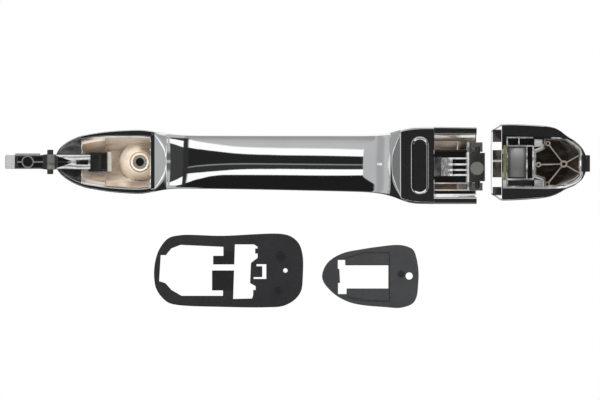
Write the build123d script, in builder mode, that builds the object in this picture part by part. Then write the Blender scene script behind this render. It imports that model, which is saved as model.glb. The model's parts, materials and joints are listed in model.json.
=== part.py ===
from build123d import *
import math
import os

os.makedirs("parts", exist_ok=True)

# ---------------------------------------------------------------------------
# Exterior car door handle kit: handle, end cap and two gaskets.
# Frame: +Z up, outer chrome face towards -Y, door side towards +Y, pivot end
# (the front) towards +X.  The origin is the centre of the pivot pin.
# Millimetres.  A depth is measured from the door plane outwards, along -Y.
# ---------------------------------------------------------------------------
door_y = -6.0             # plane of the door skin, where both feet seat
wall = 2.0                # moulded wall of the foot shells
grip_wall = 2.2           # wall of the hollow grip
parting_gap = 0.06        # gap between the two grip shells
clear = 0.12              # clearance of the retainer round the arm
insert_clear = 0.05       # gap round the boss ring, and overlap into the cap frame floor

# columns of the station tables
TOP, BOTTOM, DEPTH = 1, 2, 3

# handle stations: x, top z, bottom z, outer depth
stations = [
    (-3.2, 1.6, -1.6, 2.6), (-6.5, 8.1, -6.3, 7.0), (-11.5, 10.8, -9.6, 10.5),
    (-18.7, 12.8, -12.2, 14.2), (-25.9, 13.8, -13.5, 17.2), (-33.5, 14.3, -14.1, 20.0),
    (-40.7, 14.5, -14.5, 22.6), (-47.0, 13.3, -13.2, 24.8), (-53.3, 13.0, -12.1, 27.0),
    (-66.4, 12.0, -12.2, 31.0), (-88.0, 12.0, -12.4, 35.0), (-112.3, 12.0, -12.9, 36.5),
    (-130.3, 12.0, -13.2, 36.0), (-141.1, 12.1, -13.4, 35.0), (-149.6, 12.4, -13.8, 33.6),
    (-156.4, 14.3, -16.4, 32.2), (-162.7, 15.7, -18.6, 30.8), (-172.6, 15.8, -18.9, 28.6),
    (-191.8, 15.8, -18.9, 25.5),
]
# door-side surface of the grip: x, depth
grip_back = [
    (-47.0, 0.0), (-50.0, 2.2), (-53.3, 6.0), (-58.0, 11.0), (-66.4, 15.5), (-77.0, 18.5),
    (-88.0, 20.0), (-100.0, 20.8), (-112.3, 21.0), (-130.3, 19.8), (-141.1, 17.0),
    (-146.0, 13.5), (-149.6, 9.6), (-153.0, 5.2), (-156.4, 1.2), (-157.8, 0.0),
]
# end cap stations: x, top z, bottom z, outer depth
cap_stations = [
    (-198.5, 14.0, -14.6, 24.6), (-203.0, 16.9, -17.6, 23.9), (-212.0, 16.8, -17.1, 21.9),
    (-221.4, 16.4, -16.4, 18.6), (-226.1, 15.4, -15.3, 16.2), (-229.3, 14.0, -13.8, 14.0),
    (-232.2, 12.2, -12.4, 11.6), (-236.0, 9.6, -10.6, 8.6), (-238.7, 7.2, -8.2, 6.0),
    (-240.6, 4.2, -6.0, 4.0),
]
# x of the middle loft sections; each loft adds its own ends
foot_mid = (-18.7, -25.9, -33.5, -40.7)
grip_mid = (-53.3, -58.0, -66.4, -77.0, -88.0, -100.0, -112.3, -130.3, -141.1, -146.0,
            -149.6, -153.0)
cap_mid = (-212.0, -221.4, -226.1, -229.3, -232.2, -236.0)

foot_wall_x = -47.0       # end of the front foot
rear_face_x = -157.8      # start of the flat rear face
rear_cavity_x = -172.6    # rear end of the door-side grip shell


# ---------------------------------------------------------------------------
# Planes, outlines and output
# ---------------------------------------------------------------------------
def at_y(y):
    """Plane parallel to the door; local axes X and Z, a positive extrude goes to -Y."""
    return Plane.XZ.offset(-y)


def at_depth(depth):
    """Plane parallel to the door at a depth; a negative extrude goes towards the door."""
    return at_y(door_y - depth)


def across(x):
    """Plane of constant x; its local axes are Y and Z."""
    return Plane(origin=(x, 0, 0), x_dir=(0, 1, 0), z_dir=(1, 0, 0))


def outline(points):
    """Closed polygon added to the sketch that is open."""
    Polygon(*points, align=None)


def rect(x0, x1, y0, y1):
    """Rectangle between two corners, in the local axes of the sketch that is open."""
    outline([(x0, y0), (x1, y0), (x1, y1), (x0, y1)])


def save(piece, name):
    """Label a finished piece and write its STEP file."""
    piece.part.label = name
    export_step(piece.part, f"parts/{name}.step")


# ---------------------------------------------------------------------------
# Cross-sections
# ---------------------------------------------------------------------------
def interp(table, x, column=1):
    """Linear interpolation in a table whose first column falls."""
    if x >= table[0][0]:
        return table[0][column]
    for before, after in zip(table, table[1:]):
        if x >= after[0]:
            t = (x - before[0]) / (after[0] - before[0])
            return before[column] + t * (after[column] - before[column])
    return table[-1][column]


def bow(y0, y1, z_low, z_high, power=0.72, count=9):
    """Half a superellipse from (y0, z_low) through y1 to (y0, z_high)."""
    z_mid, half_height = (z_low + z_high) / 2, (z_high - z_low) / 2
    points = []
    for k in range(count):
        angle = math.pi * k / (count - 1)
        along, out = -math.cos(angle), math.sin(angle)
        z = z_mid + half_height * math.copysign(abs(along) ** power, along)
        points.append((y0 + (y1 - y0) * abs(out) ** power, z))
    points[0], points[-1] = (y0, z_low), (y0, z_high)
    return points


def bowed_section(x, y0, y1, z_low, z_high, power=0.72):
    """Section with a flat side at y0, bowed out to y1."""
    with BuildSketch(across(x)) as section:
        with BuildLine():
            points = bow(y0, y1, z_low, z_high, power)
            Spline(*points)
            Line(points[-1], points[0])
        make_face()
    return section.sketch


def shell_section(table, x, inset=0.0, skin=0.0, rise=0.0):
    """Section of a foot or the cap.

    inset is taken off top and bottom, skin off the outer face; the flat side
    lies rise beyond the door plane, towards +Y.
    """
    return bowed_section(x, door_y + rise, door_y - interp(table, x, DEPTH) + skin,
                         interp(table, x, BOTTOM) + inset, interp(table, x, TOP) - inset)


def meet_depth(x):
    """Depth at which the outer and inner grip shells meet."""
    back = interp(grip_back, x)
    share = 0.42 * (interp(stations, x, DEPTH) - back)
    return back + share * min(1.0, max(0.0, back / 6.0))


def grip_section(x, inset=0.0):
    """Closed oval section of the grip."""
    top = interp(stations, x, TOP) - inset
    low = interp(stations, x, BOTTOM) + inset
    meet_y = door_y - meet_depth(x)
    outer_y = door_y - interp(stations, x, DEPTH) + inset
    back_y = door_y - interp(grip_back, x) - inset
    with BuildSketch(across(x)) as section:
        with BuildLine():
            Spline(*bow(meet_y, outer_y, low, top))
            if abs(back_y - meet_y) < 0.05:
                Line((meet_y, top), (meet_y, low))
            else:
                Spline(*reversed(bow(meet_y, back_y, low, top)))
        make_face()
    return section.sketch


def rear_pocket_section(x, inset, skin):
    """Section of the open pocket in the rear foot."""
    return bowed_section(x, door_y + 1.0, door_y - interp(stations, x, DEPTH) + skin,
                         -16.1 + inset, 12.6 - inset, power=0.5)


def core_section(x, inset, floor):
    """Section of the front foot core, shallower than the foot."""
    margin = 1.5
    depth = 0.80 * interp(stations, x, DEPTH) - floor
    return bowed_section(x, door_y - 0.4, door_y - depth,
                         interp(stations, x, BOTTOM) + margin + inset,
                         interp(stations, x, TOP) - margin - inset, power=0.55)


def lofted(sections, ruled=True):
    """Solid lofted through a list of sections."""
    with BuildPart() as body:
        loft(sections=sections, ruled=ruled)
    return body.part


# ---------------------------------------------------------------------------
# Envelope of the handle: front foot, grip, rear foot
# ---------------------------------------------------------------------------
front_foot = lofted([shell_section(stations, x)
                     for x in (-3.2, -6.5, -11.5, *foot_mid, -45.2, foot_wall_x)], ruled=False)
grip = lofted([grip_section(x)
               for x in (foot_wall_x, -49.0, -51.0, *grip_mid, -156.4, rear_face_x)])
rear_foot = lofted([shell_section(stations, x)
                    for x in (rear_face_x, -160.2, -162.7, -172.6, -191.8)])

# hollows; the one behind the flat rear face leaves a web to the grip hollow
front_hollow = lofted([shell_section(stations, x, inset=1.5, skin=wall, rise=1.0)
                       for x in (-13.9, *foot_mid, -45.2)], ruled=False)
grip_hollow = lofted([grip_section(x, grip_wall) for x in (-51.2, *grip_mid, -154.6)])
face_hollow = lofted([shell_section(stations, x, inset=grip_wall, skin=grip_wall, rise=-5.0)
                      for x in (-157.0, -159.0, -162.7, -171.0)])
rear_hollow = lofted([rear_pocket_section(x, inset=0.0, skin=wall)
                      for x in (-174.6, -182.0, -193.0)])

# rooms that inserts may fill, a little smaller than the hollows
front_room = lofted([shell_section(stations, x, inset=1.62, skin=wall + 0.15, rise=1.0)
                     for x in (-14.0, *foot_mid, -45.1)], ruled=False)
rear_room = lofted([rear_pocket_section(x, inset=0.15, skin=wall + 0.2)
                    for x in (-174.7, -182.0, -193.0)])


def parting_region(gap):
    """Region of the door-side grip shell, grown by a gap."""
    least_depth = 2.4
    door_side_y = 20.0    # clear of the handle on the door side
    edge = [(x, door_y - max(least_depth, meet_depth(x)) - gap)
            for x in (foot_wall_x, -48.0, -49.0, -50.0, -51.5, *grip_mid, -156.0)]
    front_x, rear_x = foot_wall_x + gap, rear_cavity_x - gap
    profile = [(front_x, edge[0][1]), *edge[1:], (-158.5, door_y - 3.6 - gap),
               (rear_x, door_y - 2.6 - gap), (rear_x, door_side_y), (front_x, door_side_y)]
    with BuildPart() as region:
        with BuildSketch(Plane.XY):
            outline(profile[::-1])
        extrude(amount=30, both=True)
    return region.part


parting_inner = parting_region(0.0)
parting_outer = parting_region(parting_gap)

# ---------------------------------------------------------------------------
# 1  outer shell: the chrome face of the whole handle
# ---------------------------------------------------------------------------
screw_places = [(-166.2, 5.4), (-166.2, -8.6)]    # x, z
screw_boss_r = 2.6
pilot_r = 1.15
# recessed panels in the nose, below and above the pivot arm: x, z
nose_panels = [
    [(-7.4, -3.9), (-12.9, -3.9), (-12.9, -8.6), (-10.2, -6.9)],
    [(-10.2, 8.0), (-12.9, 9.6), (-12.9, 3.9), (-7.4, 3.9)],
]

with BuildPart() as outer_shell:
    for body in (front_foot, grip, rear_foot):
        add(body)
    for hollow in (front_hollow, grip_hollow, face_hollow, rear_hollow, parting_outer):
        add(hollow, mode=Mode.SUBTRACT)
    with BuildSketch(at_y(door_y)):
        for panel in nose_panels:
            outline(panel)
    extrude(amount=1.0, both=True, mode=Mode.SUBTRACT)
    # screw bosses behind the flat rear face, with their pilot holes
    with BuildSketch(at_depth(4.4)):
        with Locations(*screw_places):
            Circle(screw_boss_r)
    extrude(amount=22.6)
    with BuildSketch(at_depth(2.4)):
        with Locations(*screw_places):
            Circle(pilot_r)
    extrude(amount=10.0, mode=Mode.SUBTRACT)
save(outer_shell, "outer_shell")

# ---------------------------------------------------------------------------
# 2  grip inner shell: door side of the grip, with the flat rear face
# ---------------------------------------------------------------------------
oval_place = (-166.2, -1.6)           # x, z
oval_width, oval_height = 8.1, 26.4
oval_play = 0.2                       # added to both sizes for the seat
# below the oval seat: start depth, radius, length towards the door
screw_recesses = [(2.1, 2.3, 5.0), (6.0, 1.25, 8.0)]

with BuildPart() as grip_inner_shell:
    add(grip)
    add(rear_foot)
    add(grip_hollow, mode=Mode.SUBTRACT)
    add(parting_inner, mode=Mode.INTERSECT)
    # seat of the oval cover
    with BuildSketch(at_depth(0.9)):
        with Locations(oval_place):
            SlotOverall(oval_height + oval_play, oval_width + oval_play, rotation=90)
    extrude(amount=-5.0, mode=Mode.SUBTRACT)
    # counterbores for the screw heads, then through holes
    for depth, radius, length in screw_recesses:
        with BuildSketch(at_depth(depth)):
            with Locations(*screw_places):
                Circle(radius)
        extrude(amount=-length, mode=Mode.SUBTRACT)
save(grip_inner_shell, "grip_inner_shell")

# ---------------------------------------------------------------------------
# 3  oval cover over the rear screws
# ---------------------------------------------------------------------------
oval_rim = 0.9

with BuildPart() as rear_oval_cover:
    with BuildSketch(at_depth(0.85)):
        with Locations(oval_place):
            SlotOverall(oval_height, oval_width, rotation=90)
    extrude(amount=-1.25)
    # shallow recess inside the rim, on the door side
    with BuildSketch(at_depth(-0.05)):
        with Locations(oval_place):
            SlotOverall(oval_height - 2 * oval_rim, oval_width - 2 * oval_rim, rotation=90)
    extrude(amount=-1.0, mode=Mode.SUBTRACT)
save(rear_oval_cover, "rear_oval_cover")

# ---------------------------------------------------------------------------
# 4  front foot core: unplated moulding with the boss dome
# ---------------------------------------------------------------------------
boss_x, boss_z = -40.2, 0.0
boss_r = 4.2
ring_r, ring_hole_r = 3.0, 1.9        # threaded ring in the boss
dome_end_x = -44.6
# mouth of the core's hollow: x, z
core_mouth = [
    (-15.6, -7.6), (-15.6, 8.0), (-18.7, 9.6), (-25.9, 10.6), (-33.5, 11.2), (-44.0, 11.3),
    (-44.0, -11.5), (-33.5, -11.2), (-25.9, -10.6), (-18.7, -9.4),
]
# blocks by the retainer: start depth, x and z limits, length towards the door
core_blocks = [
    (15.0, (-28.6, -17.4, -4.8, 4.8), 6.9),     # platform below the retainer
    (9.0, (-27.4, -25.6, -4.3, 4.5), 7.4),      # raised lip behind it
]

core_outer = lofted([core_section(x, inset=0.15, floor=0.0)
                     for x in (-14.05, *foot_mid, -45.05)], ruled=False)

with BuildPart() as core_hollow:
    loft(sections=[core_section(x, inset=1.3, floor=1.6)
                   for x in (-15.3, *foot_mid, -44.2)])
    with BuildSketch(at_depth(3.0)):
        outline(core_mouth)
    extrude(amount=-4.0)

with BuildPart() as front_foot_core:
    add(core_outer)
    add(core_hollow.part, mode=Mode.SUBTRACT)
    # raised dome that carries the fixing boss, from its wide base to its narrow top
    with BuildSketch(at_depth(15.0)):
        with BuildLine():
            Polyline((boss_x, 9.6), (dome_end_x, 9.6), (dome_end_x, -9.4), (boss_x, -9.4))
            ThreePointArc((boss_x, -9.4), (-30.4, 0.1), (boss_x, 9.6))
        make_face()
    with BuildSketch(at_depth(4.0)):
        with BuildLine():
            Polyline((boss_x, 5.2), (dome_end_x, 5.6), (dome_end_x, -5.6), (boss_x, -5.2))
            ThreePointArc((boss_x, -5.2), (-35.4, 0.0), (boss_x, 5.2))
        make_face()
    loft(ruled=True)
    # boss and its bore
    with BuildSketch(at_depth(12.0)):
        with Locations((boss_x, boss_z)):
            Circle(boss_r)
    extrude(amount=-10.2)
    with BuildSketch(at_depth(10.5)):
        with Locations((boss_x, boss_z)):
            Circle(ring_r + insert_clear)
    extrude(amount=-12.0, mode=Mode.SUBTRACT)
    for depth, limits, length in core_blocks:
        with BuildSketch(at_depth(depth)):
            rect(*limits)
        extrude(amount=-length)
    # notch where the arm enters
    with BuildSketch(at_depth(3.0)):
        rect(-13.0, -17.3, -3.5, 3.5)
    extrude(amount=-6.0, mode=Mode.SUBTRACT)
    # the core stays inside the room that the shell leaves
    add(front_room, mode=Mode.INTERSECT)
save(front_foot_core, "front_foot_core")

# ---------------------------------------------------------------------------
# 5  threaded ring moulded into the boss
# ---------------------------------------------------------------------------
with BuildPart() as boss_insert:
    with BuildSketch(at_depth(10.4)):
        with Locations((boss_x, boss_z)):
            Circle(ring_r)
            Circle(ring_hole_r, mode=Mode.SUBTRACT)
    extrude(amount=-8.9)
save(boss_insert, "boss_insert")

# ---------------------------------------------------------------------------
# 6  pivot arm
# ---------------------------------------------------------------------------
pin_bore_r = 2.05
arm_half_z = 3.15
arm_half_y = 3.0
arm_end_x = 15.8
pin_boss_r, pin_boss_half = 3.1, 3.35
# side profile with the hooked tenon at its rear end: x, y
arm_profile = [
    (arm_end_x, -arm_half_y), (arm_end_x, arm_half_y), (-4.0, arm_half_y), (-10.0, 0.6),
    (-17.9, -3.6), (-17.9, -8.6), (-21.8, -8.6), (-21.8, -12.6), (-15.9, -12.6), (-15.9, -7.4),
    (-14.6, -5.6), (-4.0, -arm_half_y),
]
pocket_edge_z = 2.35
# upper pocket behind the pin: x, z
rear_pocket = [(-3.3, 0.28), (-3.3, pocket_edge_z), (-4.6, 2.2), (-9.4, 0.5), (-9.4, 0.28)]
round_boss_place = (10.1, 0.05)       # x, z
round_boss_r, round_boss_bore_r = 2.75, 2.2

with BuildPart() as pivot_arm:
    with BuildSketch(Plane.XY):
        outline(arm_profile)
    extrude(amount=arm_half_z, both=True)
    # boss round the pin
    with BuildSketch(Plane.XY):
        Circle(pin_boss_r)
    extrude(amount=pin_boss_half, both=True)
    # ledge on the upper face
    with BuildSketch(Plane.XY.offset(arm_half_z - 0.01)):
        rect(4.6, arm_end_x, -2.6, 0.4)
    extrude(amount=0.75)
    # pockets above and below the centre rib, before and behind the pin
    with BuildSketch(at_y(-2.2)):
        rect(3.4, 14.6, 0.3, pocket_edge_z)
        rect(3.4, 14.6, -pocket_edge_z, -0.3)
        outline(rear_pocket)
        outline([(x, -z) for x, z in reversed(rear_pocket)])
    extrude(amount=-8.0, mode=Mode.SUBTRACT)
    # round boss between the front pockets, with its blind bore
    with BuildSketch(at_y(-2.9)):
        with Locations(round_boss_place):
            Circle(round_boss_r)
    extrude(amount=-5.7)
    with BuildSketch(at_y(-1.6)):
        with Locations(round_boss_place):
            Circle(round_boss_bore_r)
    extrude(amount=-8.0, mode=Mode.SUBTRACT)
    # groove between the two rails behind the pivot
    with BuildSketch(at_y(-5.2)):
        rect(-17.0, -11.6, -1.2, 0.9)
    extrude(amount=-8.0, mode=Mode.SUBTRACT)
    # bore of the pivot pin
    with BuildSketch(Plane.XY.offset(-6.0)):
        Circle(pin_bore_r)
    extrude(amount=12.0, mode=Mode.SUBTRACT)
save(pivot_arm, "pivot_arm")

# ---------------------------------------------------------------------------
# 7  pivot pin: a shank in the arm and a journal at each end
# ---------------------------------------------------------------------------
shank_r = 2.00
journal_r = 1.40
journal_from = 3.45
pin_half = 5.5
pin_bevel = 0.25

with BuildPart() as pivot_pin:
    with BuildSketch(Plane.XZ):
        outline([
            (0, -pin_half), (journal_r - pin_bevel, -pin_half),
            (journal_r, -pin_half + pin_bevel), (journal_r, -journal_from),
            (shank_r, -journal_from), (shank_r, journal_from),
            (journal_r, journal_from), (journal_r, pin_half - pin_bevel),
            (journal_r - pin_bevel, pin_half), (0, pin_half),
        ])
    revolve(axis=Axis.Z)
save(pivot_pin, "pivot_pin")

# ---------------------------------------------------------------------------
# 8  bumper pad on the tip of the arm
# ---------------------------------------------------------------------------
pad_start_x = arm_end_x + 0.03
pad_end_x = 20.3
pad_half_y = 2.8

with BuildPart() as arm_tip_pad:
    with BuildSketch(Plane.XY.offset(-arm_half_z)):
        outline([(pad_start_x, -pad_half_y), (pad_end_x - 1.0, -pad_half_y),
                 (pad_end_x, -1.4), (pad_end_x, 1.6),
                 (pad_end_x - 0.8, pad_half_y), (pad_start_x, pad_half_y)])
    extrude(amount=2 * arm_half_z)
    chamfer(arm_tip_pad.edges().filter_by(Axis.Y).group_by(Axis.X)[-1], 0.5)
save(arm_tip_pad, "arm_tip_pad")

# ---------------------------------------------------------------------------
# 9  retainer: the black box that clamps the root of the arm
# ---------------------------------------------------------------------------
slot_half_z = arm_half_z + clear
# cuts: start depth, x and z limits, length towards the door
retainer_cuts = [
    (9.0, (-18.05, -16.0, -slot_half_z, slot_half_z), 12.0),    # mouth round the arm
    (9.0, (-21.95, -17.0, -slot_half_z, slot_half_z), 6.55),    # socket of the tenon
    (7.0, (-22.2, -19.1, -2.5, 2.7), 9.0),                      # well
    (3.2, (-25.0, -22.7, -3.4, 3.6), 5.0),                      # panel behind the well
]

with BuildPart() as arm_retainer:
    with BuildSketch(at_depth(8.0)):
        rect(-25.4, -17.1, -4.2, 4.4)
    extrude(amount=-7.2)
    for depth, limits, length in retainer_cuts:
        with BuildSketch(at_depth(depth)):
            rect(*limits)
        extrude(amount=-length, mode=Mode.SUBTRACT)
save(arm_retainer, "arm_retainer")

# ---------------------------------------------------------------------------
# 10  two identical screws behind the oval cover
# ---------------------------------------------------------------------------
screw_head_depth = 2.05               # underside of the heads
# radius, extrusion: the shank outwards, the head towards the door
screw_steps = [(1.05, 7.0), (1.9, -1.1)]

with BuildPart() as shell_screws:
    for radius, length in screw_steps:
        with BuildSketch(at_depth(screw_head_depth)):
            with Locations(*screw_places):
                Circle(radius)
        extrude(amount=length)
save(shell_screws, "shell_screws")

# ---------------------------------------------------------------------------
# 11  rear foot core: unplated channels either side of the latch leg
# ---------------------------------------------------------------------------
rear_floor_depth = 12.0               # door side of the floor
rear_floor_t = 2.0
channel_x = -174.8                    # front end of the channels
# walls along x: bottom z, top z, rear end x, rise above the floor
channel_walls = [
    (11.0, 12.3, -191.2, 11.4), (9.6, 10.2, -189.4, 10.0), (4.8, 5.5, -189.4, 8.4),
    (-9.8, -9.25, -189.4, 9.6), (-12.9, -12.3, -190.6, 10.6), (-15.8, -14.4, -191.2, 11.4),
]
# cross walls that close the channels: front x, rear x, bottom z, top z, rise
channel_ends = [
    (channel_x, -175.6, 4.8, 12.3, 10.4), (channel_x, -175.6, -15.8, -9.3, 10.4),
    (-182.9, -183.6, -12.9, -9.3, 9.0), (-186.6, -187.2, -12.9, -9.3, 9.0),
    (-188.8, -189.4, 4.8, 10.2, 7.6),
]

with BuildPart() as rear_foot_core:
    with BuildSketch(at_depth(rear_floor_depth + rear_floor_t)):
        rect(-191.0, channel_x, -14.6, 11.2)
    extrude(amount=-rear_floor_t)
    for z0, z1, end_x, rise in channel_walls:
        with BuildSketch(at_depth(rear_floor_depth)):
            rect(end_x, channel_x, z0, z1)
        extrude(amount=-rise)
        # root through the floor
        with BuildSketch(at_depth(rear_floor_depth + rear_floor_t)):
            rect(end_x, channel_x, z0, z1)
        extrude(amount=-2.2)
    for x0, x1, z0, z1, rise in channel_ends:
        with BuildSketch(at_depth(rear_floor_depth + 0.5)):
            rect(x1, x0, z0, z1)
        extrude(amount=-rise - 0.5)
    add(rear_room, mode=Mode.INTERSECT)
save(rear_foot_core, "rear_foot_core")

# ---------------------------------------------------------------------------
# 12  latch leg: ribbed blade through the door, with two open hooks
# ---------------------------------------------------------------------------
shoe_x, shoe_y = -191.7, 31.0         # axis of the shoe
trunnion_r, trunnion_slot_r = 1.20, 1.26
leg_tip_y = 35.0
leg_low_z, leg_top_z = -6.3, 1.9
plate_depth = 9.0                     # where the end plate starts
plate_front_x, plate_rear_x = -187.1, -187.9
hook_front_x, hook_rear_x = -189.2, -193.9
hook_low_y = shoe_y - 2.8
# side profiles: x, y
web_profile = [(-175.9, 4.0), (-179.4, 26.5), (-180.6, 26.5), (-178.6, 8.0),
               (-178.6, -16.0), (-175.9, -16.0)]
rib_profile = [(-176.9, 2.0), (-180.2, 24.5), (-184.5, 27.0), (-187.5, 27.0),
               (-187.5, -16.0), (-176.4, -16.0)]
# ribs: bottom z, top z
leg_ribs = [(1.2, leg_top_z), (-1.55, -0.75), (-4.0, -3.3), (leg_low_z, -5.5)]
# hooks: bottom z, top z, slot bottom z, slot top z, z that the link to the plate reaches
leg_hooks = [(4.45, 8.7, 4.4, 6.95, 4.2), (-12.9, -9.45, -12.05, -9.4, -8.85)]

with BuildPart() as latch_leg:
    # root that stands on the floor of the rear foot
    with BuildSketch(at_depth(11.95)):
        rect(plate_rear_x, -175.9, leg_low_z, leg_top_z)
    extrude(amount=-3.0)
    # web
    with BuildSketch(Plane.XY.offset(leg_low_z)):
        outline(web_profile)
    extrude(amount=leg_top_z - leg_low_z)
    for z0, z1 in leg_ribs:
        with BuildSketch(Plane.XY.offset(z0)):
            outline(rib_profile)
        extrude(amount=z1 - z0)
    # end plate, 1.5 short of the tip
    with BuildSketch(at_depth(plate_depth)):
        rect(plate_rear_x, plate_front_x, -9.1, 4.3)
    extrude(amount=-(leg_tip_y - (door_y - plate_depth) - 1.5))
    for z0, z1, slot_z0, slot_z1, link_z in leg_hooks:
        with BuildSketch(Plane.XY.offset(z0)):
            rect(hook_rear_x, hook_front_x, hook_low_y, shoe_y + 1.7)
        extrude(amount=z1 - z0)
        # link from the plate to the hook
        with BuildSketch(Plane.XY.offset(min(z0, link_z))):
            rect(hook_front_x - 0.2, plate_front_x, hook_low_y, shoe_y - 0.6)
        extrude(amount=max(z1, link_z) - min(z0, link_z))
        # open slot of the trunnion
        with BuildSketch(Plane.XY.offset(slot_z0)):
            with Locations((shoe_x, shoe_y)):
                Circle(trunnion_slot_r)
            rect(shoe_x - trunnion_slot_r, shoe_x + trunnion_slot_r, shoe_y, shoe_y + 3.0)
        extrude(amount=slot_z1 - slot_z0, mode=Mode.SUBTRACT)
save(latch_leg, "latch_leg")

# ---------------------------------------------------------------------------
# 13  leg shoe: black block that tilts on two trunnions
# ---------------------------------------------------------------------------
button_place = (-191.4, -3.0)         # x, z
button_r, button_seat_r = 3.0, 3.05
button_seat_y = shoe_y + 2.5

with BuildPart() as leg_shoe:
    with BuildSketch(Plane.XY.offset(-8.7)):
        with Locations((shoe_x, shoe_y)):
            RectangleRounded(6.6, 8.0, 2.6)
    extrude(amount=12.7)
    # trunnions at both ends
    with BuildSketch(Plane.XY.offset(-11.9)):
        with Locations((shoe_x, shoe_y)):
            Circle(trunnion_r)
    extrude(amount=18.7)
    # seat of the grey pad
    with BuildSketch(at_y(button_seat_y)):
        with Locations(button_place):
            Circle(button_seat_r)
    extrude(amount=-4.0, mode=Mode.SUBTRACT)
save(leg_shoe, "leg_shoe")

# ---------------------------------------------------------------------------
# 14  grey pad pressed into the shoe
# ---------------------------------------------------------------------------
with BuildPart() as shoe_button:
    with BuildSketch(at_y(button_seat_y + 0.02)):
        with Locations(button_place):
            Circle(button_r)
    extrude(amount=-2.1)
    chamfer(shoe_button.faces().sort_by(Axis.Y)[-1].edges(), 0.3)
save(shoe_button, "shoe_button")

# ---------------------------------------------------------------------------
# 15  cap shell: chrome end cap, open towards the door
# ---------------------------------------------------------------------------
# opening on the door side: x, z
opening_outline = [
    (-203.6, -11.6), (-203.6, 12.1), (-222.4, 11.3), (-232.2, 10.8), (-236.6, 9.0),
    (-238.9, 6.6), (-239.6, 3.8), (-239.6, -5.6), (-238.8, -7.8), (-236.9, -9.5),
    (-233.0, -11.4), (-222.4, -11.9),
]

cap_solid = lofted([shell_section(cap_stations, row[0]) for row in cap_stations])
cap_hollow = lofted([shell_section(cap_stations, x, inset=2.0, skin=1.8, rise=-2.0)
                     for x in (-205.0, *cap_mid, -238.4)])
opening_limit = lofted([shell_section(cap_stations, x, inset=0.9, skin=2.3, rise=1.0)
                        for x in (-203.6, *cap_mid, -238.7, -239.6)])

with BuildPart() as cap_opening:
    with BuildSketch(at_depth(8.0)):
        outline(opening_outline)
    extrude(amount=-10.0)
    add(opening_limit, mode=Mode.INTERSECT)

with BuildPart() as cap_shell:
    add(cap_solid)
    add(cap_hollow, mode=Mode.SUBTRACT)
    add(cap_opening.part, mode=Mode.SUBTRACT)
    # exit of the locating tab
    with BuildSketch(at_depth(2.6)):
        rect(-243.0, -238.0, -4.6, 3.3)
    extrude(amount=-5.0, mode=Mode.SUBTRACT)
    # two shallow windows at the end that faces the handle
    with BuildSketch(at_depth(1.2)):
        rect(-199.6, -202.4, 0.5, 5.0)
        rect(-199.6, -202.4, -0.4, -6.6)
    extrude(amount=-4.0, mode=Mode.SUBTRACT)
save(cap_shell, "cap_shell")

# ---------------------------------------------------------------------------
# 16  cap core: dark moulding with a five-armed rib star
# ---------------------------------------------------------------------------
# outside of the moulding: x, z
star_outline = [
    (-217.9, 5.1), (-218.9, 5.1), (-221.9, 6.6), (-222.3, 10.6), (-232.2, 10.4),
    (-236.0, 8.6), (-238.0, 6.4), (-239.2, 3.6), (-239.3, -5.2), (-238.0, -7.4),
    (-236.4, -9.0), (-232.8, -10.8), (-222.3, -11.2), (-221.9, -7.6), (-218.9, -6.6),
    (-217.9, -6.6),
]
# inside of its wall: x, z
star_inner = [
    (-218.5, 4.3), (-219.1, 4.3), (-222.6, 6.0), (-223.0, 9.9), (-232.0, 9.7),
    (-235.5, 8.0), (-237.3, 5.9), (-238.4, 3.2), (-238.5, -4.9), (-237.3, -6.9),
    (-235.9, -8.3), (-232.6, -10.1), (-223.0, -10.5), (-222.6, -7.0), (-219.1, -5.8),
    (-218.5, -5.8),
]
hub = (-231.0, -0.9)
# far ends of the ribs; the first three carry a small boss
rib_ends = [(-223.9, 8.3), (-219.6, -1.2), (-223.6, -10.0), (-238.3, 3.2), (-238.2, -5.1)]
rib_bosses = rib_ends[:3]
rib_half = 0.28
hub_r, hub_hole_r = 1.6, 0.8
rib_boss_r, rib_boss_hole_r = 1.15, 0.6
strip_front_x = -203.75               # front limit of everything inside the cap


def rib_outline(start, end, half):
    """Corners of a straight rib between two points."""
    dx, dz = end[0] - start[0], end[1] - start[1]
    length = math.hypot(dx, dz)
    side_x, side_z = -dz / length * half, dx / length * half
    return [(start[0] + side_x, start[1] + side_z), (end[0] + side_x, end[1] + side_z),
            (end[0] - side_x, end[1] - side_z), (start[0] - side_x, start[1] - side_z)]


# the room inside the cap that its inserts may fill
cap_room = lofted([shell_section(cap_stations, x, inset=2.2, skin=2.0)
                   for x in (strip_front_x, -205.0, *cap_mid, -238.2)])
# a smaller room that keeps the star pocket inside the core
pocket_room = lofted([shell_section(cap_stations, x, inset=3.0, skin=3.3, rise=1.0)
                      for x in (strip_front_x, *cap_mid, -237.8)])

with BuildPart() as star_pocket:
    with BuildSketch(at_depth(7.4)):
        outline(star_inner)
    extrude(amount=-9.0)
    add(pocket_room, mode=Mode.INTERSECT)

with BuildPart() as cap_core:
    with BuildSketch(at_depth(8.8)):
        outline(star_outline)
    extrude(amount=-8.7)
    add(star_pocket.part, mode=Mode.SUBTRACT)
    # ribs
    with BuildSketch(at_depth(8.0)):
        for rib_end in rib_ends:
            outline(rib_outline(hub, rib_end, rib_half))
    extrude(amount=-7.0)
    # hub and small bosses, with their holes
    with BuildSketch(at_depth(8.0)):
        with Locations(hub):
            Circle(hub_r)
        with Locations(*rib_bosses):
            Circle(rib_boss_r)
    extrude(amount=-7.2)
    with BuildSketch(at_depth(4.0)):
        with Locations(hub):
            Circle(hub_hole_r)
        with Locations(*rib_bosses):
            Circle(rib_boss_hole_r)
    extrude(amount=-6.0, mode=Mode.SUBTRACT)
    add(cap_room, mode=Mode.INTERSECT)
save(cap_core, "cap_core")

# ---------------------------------------------------------------------------
# 17  cap frame: chrome carrier with an upper and a lower channel
# ---------------------------------------------------------------------------
frame_depth = 7.0                     # door side of the frame's floor
frame_floor_t = 1.6
wall_root = 0.5                       # how far the walls reach into the floor
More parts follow.
